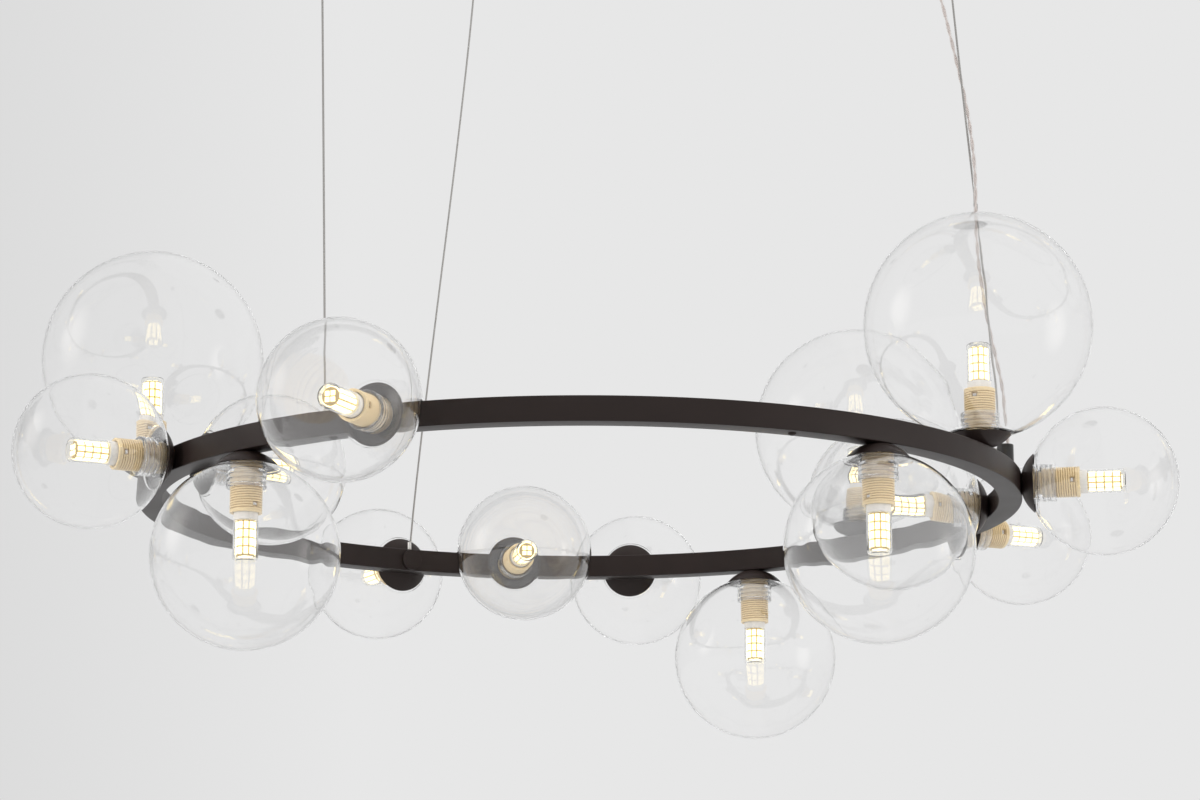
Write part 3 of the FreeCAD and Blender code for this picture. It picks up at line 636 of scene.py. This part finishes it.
def globe_part(ball_r):
    """Blown globe: outer and inner ball, folded over at the dish and run back inside as a thick threaded neck.

    Also gives where the neck's quads start and stop. The neck's wall waves with the height over the thread's
    pitch, less the turn. Both balls have slow waves of added sines, always inwards: up to 0.08 mm deep outside
    and up to 0.16 mm inside, so the wall varies.
    """
    wall, seat_r, base = 1.0 * MM, 18.3 * MM, DISH_H
    bore, neck, neck_h = 10.6 * MM, 12.8 * MM, 14.7 * MM
    fold, thread_pitch, swell = 0.95 * MM, 3.2 * MM, 0.04 * MM
    centre = base + sqrt(ball_r ** 2 - seat_r ** 2)
    inner_r = ball_r - wall

    def ball(radius, z_from, z_to, steps):
        ends = np.arccos(np.clip((np.array([z_from, z_to]) - centre) / radius, -1, 1))
        a = np.linspace(*ends, steps)
        return np.stack([radius * np.sin(a), centre + radius * np.cos(a)], axis=1)

    outer = ball(ball_r, centre + ball_r, base + 1.6 * MM, 84)[::-1]
    inner = ball(inner_r, base + wall + 1.4 * MM, centre + inner_r, 84)
    top = base + neck_h
    mouth = soften([outer[0], (seat_r, base), (bore, base), (bore, base + 2.5 * MM)], fold, 6)
    floor = soften([(neck, base + wall + 4.0 * MM), (neck, base + wall),
                    (inner[0][0] - 0.6 * MM, base + wall), inner[0]], fold, 6)
    lip = soften([(bore, top - 2 * MM), (bore, top), (neck, top), (neck, top - 2 * MM)], fold, 6)
    up = np.stack([np.full(24, bore), np.linspace(base + 2.9 * MM, top - 2.2 * MM, 24)], axis=1)
    down = np.stack([np.full(20, neck), np.linspace(top - 2.4 * MM, base + wall + 4.4 * MM, 20)], axis=1)
    loop = np.vstack([outer[::-1][:-1], mouth, up, lip, down, floor, inner[1:]])[::-1]
    steps = 120
    neck_start = (len(inner) + len(floor) - 2) * steps
    neck_stop = neck_start + (len(down) + len(lip) + len(up)) * steps

    def waves(r, z, t):
        reach = np.sqrt(r ** 2 + (z - centre) ** 2)
        slow = 1 + 0.5 * np.sin(3 * t + z * 70) + 0.5 * np.sin(2 * t - z * 45 + ball_r * 900)
        ease = np.clip((z - base - 4 * MM) / (8 * MM), 0, 1)
        r = np.where(reach > ball_r - 0.01 * MM, r - swell * slow * ease, r)
        uneven = np.sin(4 * t + z * 150) + np.sin(3 * t - z * 190 + ball_r * 500)
        r = np.where(np.abs(reach - inner_r) < 0.01 * MM, r - swell * (2 + uneven) * ease, r)
        up_wall = (np.abs(r - bore) < 0.02 * MM) & (z > base + 2.6 * MM) & (z < top - 2.1 * MM)
        out_wall = (np.abs(r - neck) < 0.02 * MM) & (z > base + wall + 4.2 * MM) & (z < top - 2.3 * MM)
        wave = 0.5 - 0.5 * np.cos(2 * pi * (z / thread_pitch - t / (2 * pi)))
        r = np.where(up_wall, r + 0.45 * MM * wave, r)
        return np.where(out_wall, r - 0.35 * MM * wave, r)

    return turned(loop, steps, shape=waves), neck_start, neck_stop


def bulb_parts():
    """Two-pin bulb in its lamp's frame: ceramic foot, clear cover, board, glowing chips and wire loops."""
    foot_low, foot_high, tip = 35.0 * MM, 44.0 * MM, 69.5 * MM
    foot = turned(soften([(0, foot_low), (7.9 * MM, foot_low), (7.9 * MM, foot_high - 0.4 * MM),
                          (7.4 * MM, foot_high), (0, foot_high)], 0.35 * MM), 64)
    rim, skin, seam = 8.0 * MM, 0.7 * MM, foot_high + 0.05 * MM
    cover = soften([(7.45 * MM, foot_high - 1.0 * MM), (rim, seam), (rim, tip), (0, tip)], 2.0 * MM, 7)
    cover[0] = (rim - skin, seam)
    inside = soften([(rim - skin, seam), (rim - skin, tip - skin), (0, tip - skin)], 1.4 * MM, 7)
    shell = turned(np.vstack([inside[::-1], cover[1:]]), 64)
    board_r, board_top = 5.75 * MM, tip - 3.0 * MM
    board = turned(soften([(0, foot_high - 0.2 * MM), (board_r, foot_high - 0.2 * MM), (board_r, board_top),
                           (0, board_top)], 0.3 * MM), 48)
    looks = bpy.context.scene.chandelier_looks
    columns, rows = looks.chip_columns, looks.chip_rows
    pitch = (board_top - foot_high - 0.8 * MM) / rows
    chip = block(2.75 * MM, 0.8 * MM, pitch - 1.0 * MM, 0.15 * MM)
    chips = []
    for row, column in product(range(rows), range(columns)):
        turn = Matrix.Rotation(2 * pi * (column + 0.5) / columns, 4, "Z")
        lift = Matrix.Translation((0, board_r + 0.25 * MM, foot_high + 0.4 * MM + pitch * (row + 0.5)))
        chips.append(moved(chip, turn @ lift))
    flat = block(2.9 * MM, 2.9 * MM, 0.8 * MM, 0.15 * MM)
    for x, y in product((-1, 1), repeat=2):
        chips.append(placed(flat, (x * 1.9 * MM, y * 1.9 * MM, board_top + 0.25 * MM)))
    pins = []
    pin_x, loop_r, pin_top = 4.5 * MM, 1.4 * MM, foot_low + 0.1 * MM
    bend_z = foot_low - 13 * MM + loop_r
    for x in (-pin_x, pin_x):
        bend = [(x, loop_r * np.cos(a), bend_z - loop_r * np.sin(a)) for a in np.linspace(0, pi, 13)]
        pins.append(tube_round([(x, loop_r, pin_top), *bend, (x, -loop_r, pin_top)], 0.4 * MM, 10))
    return {"foot": foot, "cover": shell, "board": board, "chips": joined(chips), "pins": joined(pins)}


def wire_points(i):
    """The wire's route: upright in its anchor, straight and leaning, upright in the ceiling fitting."""
    azimuth = wire_azimuths()[i]
    if i == WIRE_COUNT - 1:
        foot = RING_TOP + GLAND_H - 3 * CLAMP_DROP
        leave = RING_TOP + GLAND_H + WIRE_RISE
    else:
        foot = RING_MID - 1.5 * MM
        leave = RING_TOP + SLEEVE_H + WIRE_RISE
    enter = cap_top(i) - CAP_H - NOSE_H - PLUNGER_SHOW - WIRE_ENTRY
    top = cap_top(i) - CAP_H + CAP_FLOOR + WIRE_TAIL
    return [on_circle(WIRE_CIRCLE_R, azimuth, foot), on_circle(WIRE_CIRCLE_R, azimuth, leave),
            ceiling_point(i, enter), ceiling_point(i, top)]


def cord_points():
    """The power cord's route: up through the gland, round the wire, in to the strain relief and the block."""
    azimuth = wire_azimuths()[-1]
    cord_r = RING_R - CORD_INSET
    pitch, steps, count, start, play = 176 * MM, 4, 6, 13 * MM, 0.3 * MM
    low, high = wire_points(2)[1:3]
    along = (high - low).normalized()
    across = on_circle(1.0, azimuth)
    beside = Vector((0, 0, 1)).cross(across)
    reach = cord_r - WIRE_CIRCLE_R
    near = ((CORD_D + WIRE_D) / 2 + play) / cos(pi / steps)
    step = pitch / steps
    route = [on_circle(cord_r, azimuth, RING_MID + 2 * MM),
             on_circle(cord_r, azimuth, RING_TOP + GLAND_H + start)]
    for k in range(1, count + 1):
        turn = 2 * pi * (k - 0.5) / steps
        swing = max(near, reach - (reach - near) * k / 2)
        spot = low + along * (start - WIRE_RISE + k * step)
        route.append(spot + across * (swing * cos(turn)) + beside * (swing * sin(turn)))
    inward = on_circle(-1.0, azimuth + CEILING_TWIST)
    block_way = Vector((0, 0, 1)).cross(inward)

    def relief(z):
        return ceiling_point(2, z) + inward * RELIEF_REACH

    relief_low = relief(-CANOPY_H - RELIEF_H - step / 2)
    leave = route[-1]
    for part in (0.34, 0.72):
        spot = leave + (relief_low - leave) * part
        route.append(spot - inward * (RELIEF_REACH * part * (1 - part) / 2))
    route += [relief_low, relief(-10 * MM), relief(-10 * MM) + block_way * 24 * MM]
    return route


def smooth_curve(name, points):
    """Open NURBS curve with these points as its control points."""
    data = bpy.data.curves.new(name, "CURVE")
    data.dimensions = "3D"
    spline = data.splines.new("NURBS")
    spline.points.add(len(points) - 1)
    for spot, point in zip(spline.points, points):
        spot.co = (*point, 1.0)
    spline.order_u = 3
    spline.use_endpoint_u = True
    spline.resolution_u = 24
    piece = bpy.data.objects.new(name, data)
    bpy.context.scene.collection.objects.link(piece)
    return piece


def line_of(piece):
    """Points along a curve, read from its own smooth line."""
    bpy.context.view_layer.update()
    mesh = bpy.data.meshes.new_from_object(piece.evaluated_get(bpy.context.evaluated_depsgraph_get()))
    points = np.zeros(len(mesh.vertices) * 3)
    mesh.vertices.foreach_get("co", points)
    bpy.data.meshes.remove(mesh)
    return points.reshape(-1, 3)


def spaced(line, gap):
    """The same line with points an even gap apart."""
    run = np.concatenate([[0], np.cumsum(np.linalg.norm(np.diff(line, axis=0), axis=1))])
    count = max(8, int(run[-1] / gap))
    at = np.linspace(0, run[-1], count + 1)
    return np.stack([np.interp(at, run, line[:, k]) for k in range(3)], axis=1), run[-1]


def sized(name, text, default, low, high):
    """Length property with its limits."""
    return FloatProperty(name=name, description=text, default=default, min=low, max=high,
                         subtype="DISTANCE", unit="LENGTH", precision=5)


class ChandelierLooks(bpy.types.PropertyGroup):
    """Sizes and colours that a user would change."""
    edge_radius: sized("Edge radius", "Rounding of the square tube's edges", 0.8 * MM, 0.2 * MM, 3 * MM)
    thread_pitch: sized("Thread pitch", "Pitch of the lampholders' outer thread", 1.6 * MM, 0.5 * MM, 4 * MM)
    strand_lay: sized("Wire lay", "Length of one turn of the wire's strands", 11 * MM, 4 * MM, 30 * MM)
    coat_colour: FloatVectorProperty(name="Coat colour", description="Powder coat of ring and dishes",
                                     subtype="COLOR", size=3, min=0, max=1, default=srgb("#2b2321")[:3])
    coat_roughness: FloatProperty(name="Coat roughness", description="0 is glossy and 1 is flat",
                                  default=0.38, min=0, max=1, subtype="FACTOR")
    glow: FloatProperty(name="Glow", description="Strength of the lit chips", default=2.3, min=0, max=20)
    chip_columns: IntProperty(name="Chip columns", description="Columns of chips round a bulb",
                              default=10, min=4, max=16)
    chip_rows: IntProperty(name="Chip rows", description="Rows of chips up a bulb", default=4, min=2, max=12)
    background: FloatVectorProperty(name="Background", description="Colour behind the object", subtype="COLOR",
                                    size=3, min=0, max=1, default=srgb("#e7e7e7")[:3])


class CHANDELIER_OT_camera(bpy.types.Operator):
    """Camera at the photograph's place, found by fitting ring, wires and globes"""
    bl_idname = "chandelier.camera"
    bl_label = "Camera"

    def execute(self, context):
        distance, below, focal = 2.54243, 0.46177, 113.50
        yaw, pitch, roll = 0.005327, 0.208547, -0.002644
        data = bpy.data.cameras.new("camera")
        data.sensor_width = 36
        data.lens = focal
        data.clip_start, data.clip_end = 0.05, 60
        camera = bpy.data.objects.new("camera", data)
        context.scene.collection.objects.link(camera)
        ahead = Vector((sin(yaw) * cos(pitch), cos(yaw) * cos(pitch), sin(pitch)))
        right = Vector((cos(yaw), -sin(yaw), 0))
        up = right.cross(ahead)
        right, up = right * cos(roll) + up * sin(roll), up * cos(roll) - right * sin(roll)
        turn = Matrix((right, up, -ahead)).transposed().to_4x4()
        camera.matrix_world = Matrix.Translation((0, -distance, RING_BOTTOM - below)) @ turn
        context.scene.camera = camera
        return {"FINISHED"}


class CHANDELIER_OT_cords(bpy.types.Operator):
    """Three hanging wires of twisted strands and the clear power cord with its two cores"""
    bl_idname = "chandelier.cords"
    bl_label = "Wires and cord"

    def execute(self, context):
        looks = context.scene.chandelier_looks
        strand_r, strand_reach, sides = 0.25 * MM, 0.5 * MM, 6
        for i, side in enumerate(WIRE_SIDES):
            guide = smooth_curve("guide_" + side, wire_points(i))
            line, length = spaced(line_of(guide), 1.1 * MM)
            bpy.data.objects.remove(guide)
            turns = length / looks.strand_lay
            strands = [tube_round(line, strand_r, sides)]
            for k in range(6):
                strands.append(tube_round(line, strand_r, sides, strand_reach, turns, 2 * pi * k / 6))
            wire = make_piece("wire_rope_" + side, joined(strands), material_named("drawn_steel"),
                              replaces=["wire_" + side])
        guide = smooth_curve("guide_cord", cord_points())
        line, length = spaced(line_of(guide), 1.5 * MM)
        bpy.data.objects.remove(guide)
        core_r, core_reach, core_lay = 0.52 * MM, 0.6 * MM, 24 * MM
        cores = [tube_round(line, core_r, 8, core_reach, length / core_lay, pi * k) for k in range(2)]
        core_piece = make_piece("cord_cores", joined(cores), material_named("tinned_copper"))
        sheath = make_piece("cord_sheath", tube_round(line, CORD_D / 2, 28), material_named("clear_pvc"),
                            replaces=["power_cord"])
        return {"FINISHED"}


class CHANDELIER_OT_ring(bpy.types.Operator):
    """Rolled square tube with its anchor heads, ferrules and button screws"""
    bl_idname = "chandelier.ring"
    bl_label = "Ring"

    def execute(self, context):
        coat = material_named("powder_coated_steel")
        make_piece("ring_skin", ring_section(720), coat, replaces=["ring_tube"])
        heads, ferrules = [], []
        head = turned(soften([(0, -5.6 * MM), (4.5 * MM, -5.6 * MM), (4.5 * MM, 0), (7.5 * MM, 0),
                              (7.5 * MM, 2 * MM), (0, 2 * MM)], 0.3 * MM), 72)
        ferrule = turned(soften([(0, 0), (1.4 * MM, 0), (1.4 * MM, SLEEVE_H), (0, SLEEVE_H)], 0.35 * MM), 32)
        for azimuth in wire_azimuths()[:-1]:
            outward = on_circle(1.0, azimuth)
            seat = on_circle(RING_INNER_R - IN_SHIFT, azimuth, RING_MID)
            heads.append(moved(head, frame_along(seat, -outward, (0, 0, 1))))
            ferrules.append(placed(ferrule, on_circle(WIRE_CIRCLE_R, azimuth, RING_TOP)))
        make_piece("anchor_heads", joined(heads), coat, replaces=["anchor_plugs"])
        make_piece("wire_ferrules", joined(ferrules), material_named("nickel_plate"),
                   replaces=["wire_sleeves"])
        screws = []
        for azimuth in RING_SCREW_AZIMUTHS:
            place = on_circle(RING_R - TUBE_SIDE / 2, azimuth, RING_BOTTOM)
            screws.append(moved(button_screw(), frame_along(place, (0, 0, -1), (1, 0, 0))))
        make_piece("button_screws", joined(screws), coat, replaces=["ring_screws"])
        return {"FINISHED"}


def button_screw():
    """Button head with a hexagonal socket, and its shank: socket radii follow the hexagon round the turn."""
    socket = 1.0 * MM
    dome = [(2.75 * MM, 0.0), (2.72 * MM, 0.35 * MM), (2.4 * MM, 0.85 * MM), (1.8 * MM, 1.25 * MM),
            (1.25 * MM, 1.5 * MM)]
    profile = [(0, -5 * MM), (1.5 * MM, -5 * MM), (1.5 * MM, -0.05 * MM), *dome,
               (socket, 1.48 * MM), (socket, 0.6 * MM), (0, 0.6 * MM)]

    def hexed(r, z, t):
        flat = cos(pi / 6) / np.cos((t + pi / 6) % (pi / 3) - pi / 6)
        return np.where(np.abs(r - socket) < 0.001 * MM, r * flat * 1.08, r)

    return turned(profile, 48, shape=hexed)


class CHANDELIER_OT_dishes(bpy.types.Operator):
    """Dished caps between the tube and the globes"""
    bl_idname = "chandelier.dishes"
    bl_label = "Dishes"

    def execute(self, context):
        dish = dish_part()
        lamps = lamp_frames()
        for facing in FACINGS:
            parts = [moved(dish, lamp["matrix"]) for lamp in lamps if lamp["facing"] == facing]
            make_piece("dish_caps_" + facing, joined(parts), material_named("powder_coated_steel"),
                       replaces=["dishes_" + facing])
        return {"FINISHED"}


class CHANDELIER_OT_holders(bpy.types.Operator):
    """Cream lampholders with their threads, windows and latch tongues"""
    bl_idname = "chandelier.holders"
    bl_label = "Lampholders"

    def execute(self, context):
        holder, latch = holder_part(), latch_part()
        lamps = lamp_frames()
        for facing in FACINGS:
            parts = [moved(holder, lamp["matrix"]) for lamp in lamps if lamp["facing"] == facing]
            make_piece("holder_barrels_" + facing, joined(parts), material_named("cream_ceramic"),
                       replaces=["lampholders_" + facing])
        make_piece("holder_latches", joined([moved(latch, lamp["matrix"]) for lamp in lamps]),
                   material_named("nickel_plate"))
        return {"FINISHED"}


class CHANDELIER_OT_bulbs(bpy.types.Operator):
    """Two-pin bulbs with lit chips under clear covers"""
    bl_idname = "chandelier.bulbs"
    bl_label = "Bulbs"

    def execute(self, context):
        finishes = {"foot": "white_ceramic", "cover": "polycarbonate", "board": "white_board",
                    "chips": "lit_phosphor", "pins": "zinc_plate"}
        parts = bulb_parts()
        for lamp in lamp_frames():
            node = "bulb_" + lamp["number"]
            for part, finish in finishes.items():
                make_piece("bulb_%s_%s" % (part, lamp["number"]), moved(parts[part], lamp["matrix"]),
                           material_named(finish), body=node,
                           replaces=[node] if part == "foot" else ())
        return {"FINISHED"}


class CHANDELIER_OT_globes(bpy.types.Operator):
    """Blown glass globes with turned-in threaded necks"""
    bl_idname = "chandelier.globes"
    bl_label = "Globes"

    def execute(self, context):
        by_size = {}
        for lamp in lamp_frames():
            size = lamp["ball_r"]
            if size not in by_size:
                by_size[size] = globe_part(size)
            part, start, stop = by_size[size]
            make_piece("glass_globe_" + lamp["number"], moved(part, lamp["matrix"]), material_named("blown_glass"),
                       body="globe_" + lamp["number"], replaces=[lamp["node"]],
                       second=(material_named("pressed_glass"), start, stop))
        return {"FINISHED"}


class CHANDELIER_OT_fittings(bpy.types.Operator):
    """Cord gland with its clamp screw, ceiling fittings, canopy and strain relief"""
    bl_idname = "chandelier.fittings"
    bl_label = "Gland and ceiling fittings"

    def execute(self, context):
        coat, nickel = material_named("powder_coated_steel"), material_named("nickel_plate")
        azimuth = wire_azimuths()[-1]
        inward = on_circle(-1.0, azimuth)
        foot = on_circle((WIRE_CIRCLE_R + RING_R - CORD_INSET) / 2, azimuth, RING_TOP)
        post = turned(soften([(0, -2.6 * MM), (4.2 * MM, -2.6 * MM), (4.2 * MM, 0), (GLAND_R, 0),
                              (GLAND_R, GLAND_H), (0, GLAND_H)], 0.7 * MM), 72)
        make_piece("gland_post", placed(post, foot), material_named("black_nylon"),
                   replaces=["cord_gland"])
        seat = foot + inward * GLAND_R + Vector((0, 0, GLAND_H - CLAMP_DROP))
        make_piece("clamp_screw", moved(knurled_screw(), frame_along(seat, inward, (0, 0, 1))), nickel,
                   replaces=["gland_screw"])
        caps = []
        plunger = turned(soften([(0, -PLUNGER_SHOW), (3 * MM, -PLUNGER_SHOW), (3 * MM, 2 * MM), (4 * MM, 2 * MM),
                                 (4 * MM, 3.5 * MM), (0, 3.5 * MM)], 0.3 * MM), 48)
        for i, side in enumerate(WIRE_SIDES):
            low = cap_top(i) - CAP_H
            caps.append(placed(cap_part(), ceiling_point(i, low)))
            make_piece("release_plunger_" + side, placed(plunger, ceiling_point(i, low - NOSE_H)), nickel,
                       body="plunger_" + side, replaces=["plunger_" + side])
        make_piece("fitting_caps", joined(caps), coat, replaces=["ceiling_caps"])
        make_piece("canopy_cup", placed(canopy_part(), ceiling_point(2, 0)), coat,
                   replaces=["canopy"])
        relief = turned(soften([(0, -RELIEF_H), (3 * MM, -RELIEF_H), (4.5 * MM, -RELIEF_H / 2), (4.5 * MM, 0),
                                (3 * MM, 0), (3 * MM, 1.2 * MM), (6 * MM, 1.2 * MM), (6 * MM, 4.2 * MM),
                                (3 * MM, 4.2 * MM), (3 * MM, 4.7 * MM), (0, 4.7 * MM)], 0.4 * MM), 48)
        spot = ceiling_point(2, -CANOPY_H) + on_circle(-RELIEF_REACH, azimuth + CEILING_TWIST)
        make_piece("strain_relief", placed(relief, spot), material_named("black_nylon"),
                   replaces=["cord_relief"])
        return {"FINISHED"}


def knurled_screw():
    """Clamp screw: the head's radius ripples round the turn, once for each rib."""
    rib_count, rib_depth = 22, 0.14 * MM
    profile = soften([(0, -2.2 * MM), (1.25 * MM, -2.2 * MM), (1.25 * MM, 0.1 * MM), (2.5 * MM, 0.1 * MM),
                      (2.5 * MM, 2.6 * MM), (1.6 * MM, 2.6 * MM), (0, 2.3 * MM)], 0.25 * MM)

    def ribs(r, z, t):
        return np.where(r > 2.2 * MM, r - rib_depth * (0.5 - 0.5 * np.cos(rib_count * t)), r)

    return turned(profile, 132, shape=ribs)


def cap_part():
    """Ceiling cap and nose as one turned skin, with one shallow groove round its middle."""
    profile = soften([(0, -NOSE_H), (5.5 * MM, -NOSE_H), (5.5 * MM, 0), (12 * MM, 0), (12 * MM, 8 * MM),
                      (11.7 * MM, 8.5 * MM), (12 * MM, 9 * MM), (12 * MM, CAP_H), (0, CAP_H)], 0.6 * MM)
    return turned(profile, 96)


def canopy_part():
    """Shallow cup of sheet metal, open upwards: outer and inner skin with rounded floor corners."""
    radius, sheet, hole = 60 * MM, 1.2 * MM, 10.1 * MM
    outside = soften([(hole, -CANOPY_H), (radius, -CANOPY_H), (radius, 0)], 3 * MM, 8)
    inner = radius - sheet
    inside = soften([(inner, 0), (inner, sheet - CANOPY_H), (hole, sheet - CANOPY_H)], 1.8 * MM, 8)
    return turned(np.vstack([outside, inside]), 144, closed=True)


class CHANDELIER_OT_finishes(bpy.types.Operator):
    """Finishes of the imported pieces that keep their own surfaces"""
    bl_idname = "chandelier.finishes"
    bl_label = "Inner pieces"

    def execute(self, context):
        finishes = {"ring_wiring": "clear_pvc", "lamp_nipples": "zinc_plate", "lamp_nuts": "zinc_plate",
                    "screw_plates": "zinc_plate", "ceiling_bases": "zinc_plate", "terminal_block": "black_nylon"}
        for node, finish in finishes.items():
            mesh = frame["nodes"][node].data
            mesh.materials.clear()
            mesh.materials.append(material_named(finish))
        return {"FINISHED"}


class CHANDELIER_OT_stage(bpy.types.Operator):
    """Pale floor, pale surroundings and soft studio lamps"""
    bl_idname = "chandelier.stage"
    bl_label = "Stage"

    def execute(self, context):
        looks = context.scene.chandelier_looks
        pale = tuple(looks.background) + (1.0,)
        make_floor(pale)
        world = bpy.data.worlds.new("surroundings")
        context.scene.world = world
        world.use_nodes = True
        tree = world.node_tree
        tree.nodes.clear()
        way = add(tree, "ShaderNodeTexCoord").outputs["Generated"]
        across = add(tree, "ShaderNodeSeparateXYZ", links={0: way}).outputs["X"]
        shaded, even = -0.16, -0.06     # the surroundings darken from here to there, towards the left
        reach = add(tree, "ShaderNodeMapRange", {"From Min": shaded, "From Max": even}, {"Value": across})
        shade = add(tree, "ShaderNodeValToRGB", {"stops": ((0.0, darker(pale, 0.89)), (1.0, pale))},
                    {"Fac": reach.outputs["Result"]})
        light = add(tree, "ShaderNodeBackground", {"Color": srgb("#f4f6f8"), "Strength": 0.6})
        shown = add(tree, "ShaderNodeBackground", {"Strength": 1.0}, {"Color": shade.outputs["Color"]})
        mix = add(tree, "ShaderNodeMixShader",
                  links={0: seen_directly(tree), 1: light.outputs[0], 2: shown.outputs[0]})
        out = add(tree, "ShaderNodeOutputWorld", links={0: mix.outputs[0]})
        out.is_active_output = True
        middle = Vector((0, 0, RING_MID))
        # Name, place and size in metres, power in watts, and whether glass mirrors it
        softboxes = [
            ("softbox_left", (-2.3, -1.2, -0.3), (0.9, 1.5), 30.0, False),
            ("softbox_right", (2.3, -1.2, -0.5), (0.9, 1.3), 24.0, False),
            ("softbox_top", (0.2, -0.6, 1.9), (1.6, 1.2), 28.0, False),
            ("softbox_back", (-0.4, 2.4, 0.6), (1.8, 1.0), 12.0, False),
            ("glint_left", (-2.0, -0.17, 0.12), (1.5, 1.8), 8.5, True),
            ("glint_right", (2.3, -0.57, -0.57), (1.4, 1.8), 7.5, True),
        ]
        for name, place, size, power, glint in softboxes:
            lamp = bpy.data.lights.new(name, "AREA")
            lamp.shape = "ELLIPSE"
            lamp.size, lamp.size_y = size
            lamp.energy = power
            lamp.color = srgb("#fffaf4")[:3]
            if glint:
                soft_edge(lamp)
            holder = bpy.data.objects.new(name, lamp)
            holder.location = place
            holder.rotation_mode = "QUATERNION"
            holder.rotation_quaternion = (middle - Vector(place)).to_track_quat("-Z", "Y")
            holder.visible_camera = holder.visible_transmission = False
            holder.visible_glossy = glint
            context.scene.collection.objects.link(holder)
        context.scene.view_settings.view_transform = "Standard"
        return {"FINISHED"}


def soft_edge(lamp):
    """Lets a lamp fade from its middle to its rim, so that glass mirrors it as a soft spot."""
    lamp.use_nodes = True
    tree = lamp.node_tree
    tree.nodes.clear()
    face = add(tree, "ShaderNodeNewGeometry").outputs["Parametric"]
    middle = add(tree, "ShaderNodeVectorMath", {"operation": "SUBTRACT", 1: (0.5, 0.5, 0)}, {0: face})
    far = add(tree, "ShaderNodeVectorMath", {"operation": "LENGTH"}, {0: middle.outputs[0]})
    fade = add(tree, "ShaderNodeMapRange", {"interpolation_type": "SMOOTHSTEP", "From Min": 0.5, "From Max": 0.1},
               {"Value": far.outputs["Value"]})
    glow = add(tree, "ShaderNodeEmission", links={"Strength": fade.outputs["Result"]})
    add(tree, "ShaderNodeOutputLight", links={0: glow.outputs[0]})


def make_floor(pale):
    """Plain pale floor that shows its upper side only."""
    side, level = 60.0, -2.4
    corners = [(-side, -side, level), (side, -side, level), (side, side, level), (-side, side, level)]
    mesh = bpy.data.meshes.new("floor")
    mesh.from_pydata(corners, [], [(0, 1, 2, 3)])
    floor = bpy.data.objects.new("floor", mesh)
    bpy.context.scene.collection.objects.link(floor)
    material, tree, out, place = new_material("painted_floor")
    _, tint = mottled(tree, place, 1 / 3, 6.0, (0.3, 0.7), darker(pale, 0.97), pale)
    matt = add(tree, "ShaderNodeBsdfPrincipled", {"Roughness": 0.7}, {"Base Color": tint})
    plain = add(tree, "ShaderNodeEmission", links={"Color": tint})
    shown = add(tree, "ShaderNodeMixShader",
                links={0: seen_directly(tree), 1: matt.outputs[0], 2: plain.outputs[0]})
    clear = add(tree, "ShaderNodeBsdfTransparent")
    back = add(tree, "ShaderNodeNewGeometry")
    mix = add(tree, "ShaderNodeMixShader",
              links={0: back.outputs["Backfacing"], 1: shown.outputs[0], 2: clear.outputs[0]})
    tree.links.new(mix.outputs[0], out.inputs[0])
    mesh.materials.append(material)


class CHANDELIER_PT_panel(bpy.types.Panel):
    """Lists the operators and the looks"""
    bl_idname = "CHANDELIER_PT_panel"
    bl_label = "Chandelier"
    bl_space_type = "VIEW_3D"
    bl_region_type = "UI"
    bl_category = "Chandelier"

    def draw(self, context):
        looks = context.scene.chandelier_looks
        for name in ChandelierLooks.__annotations__:
            self.layout.prop(looks, name)
        for operator in OPERATORS:
            self.layout.operator(operator.bl_idname)


OPERATORS = (
    CHANDELIER_OT_camera,
    CHANDELIER_OT_cords,
    CHANDELIER_OT_ring,
    CHANDELIER_OT_dishes,
    CHANDELIER_OT_holders,
    CHANDELIER_OT_bulbs,
    CHANDELIER_OT_globes,
    CHANDELIER_OT_fittings,
    CHANDELIER_OT_finishes,
    CHANDELIER_OT_stage,
)
CLASSES = (ChandelierLooks, *OPERATORS, CHANDELIER_PT_panel)


def register():
    for cls in CLASSES:
        bpy.utils.register_class(cls)
    bpy.types.Scene.chandelier_looks = PointerProperty(type=ChandelierLooks)


def unregister():
    del bpy.types.Scene.chandelier_looks
    for cls in reversed(CLASSES):
        bpy.utils.unregister_class(cls)


def main():
    register()
    for operator in OPERATORS:
        group, name = operator.bl_idname.split(".")
        getattr(getattr(bpy.ops, group), name)()


if __name__ == "__main__":
    main()
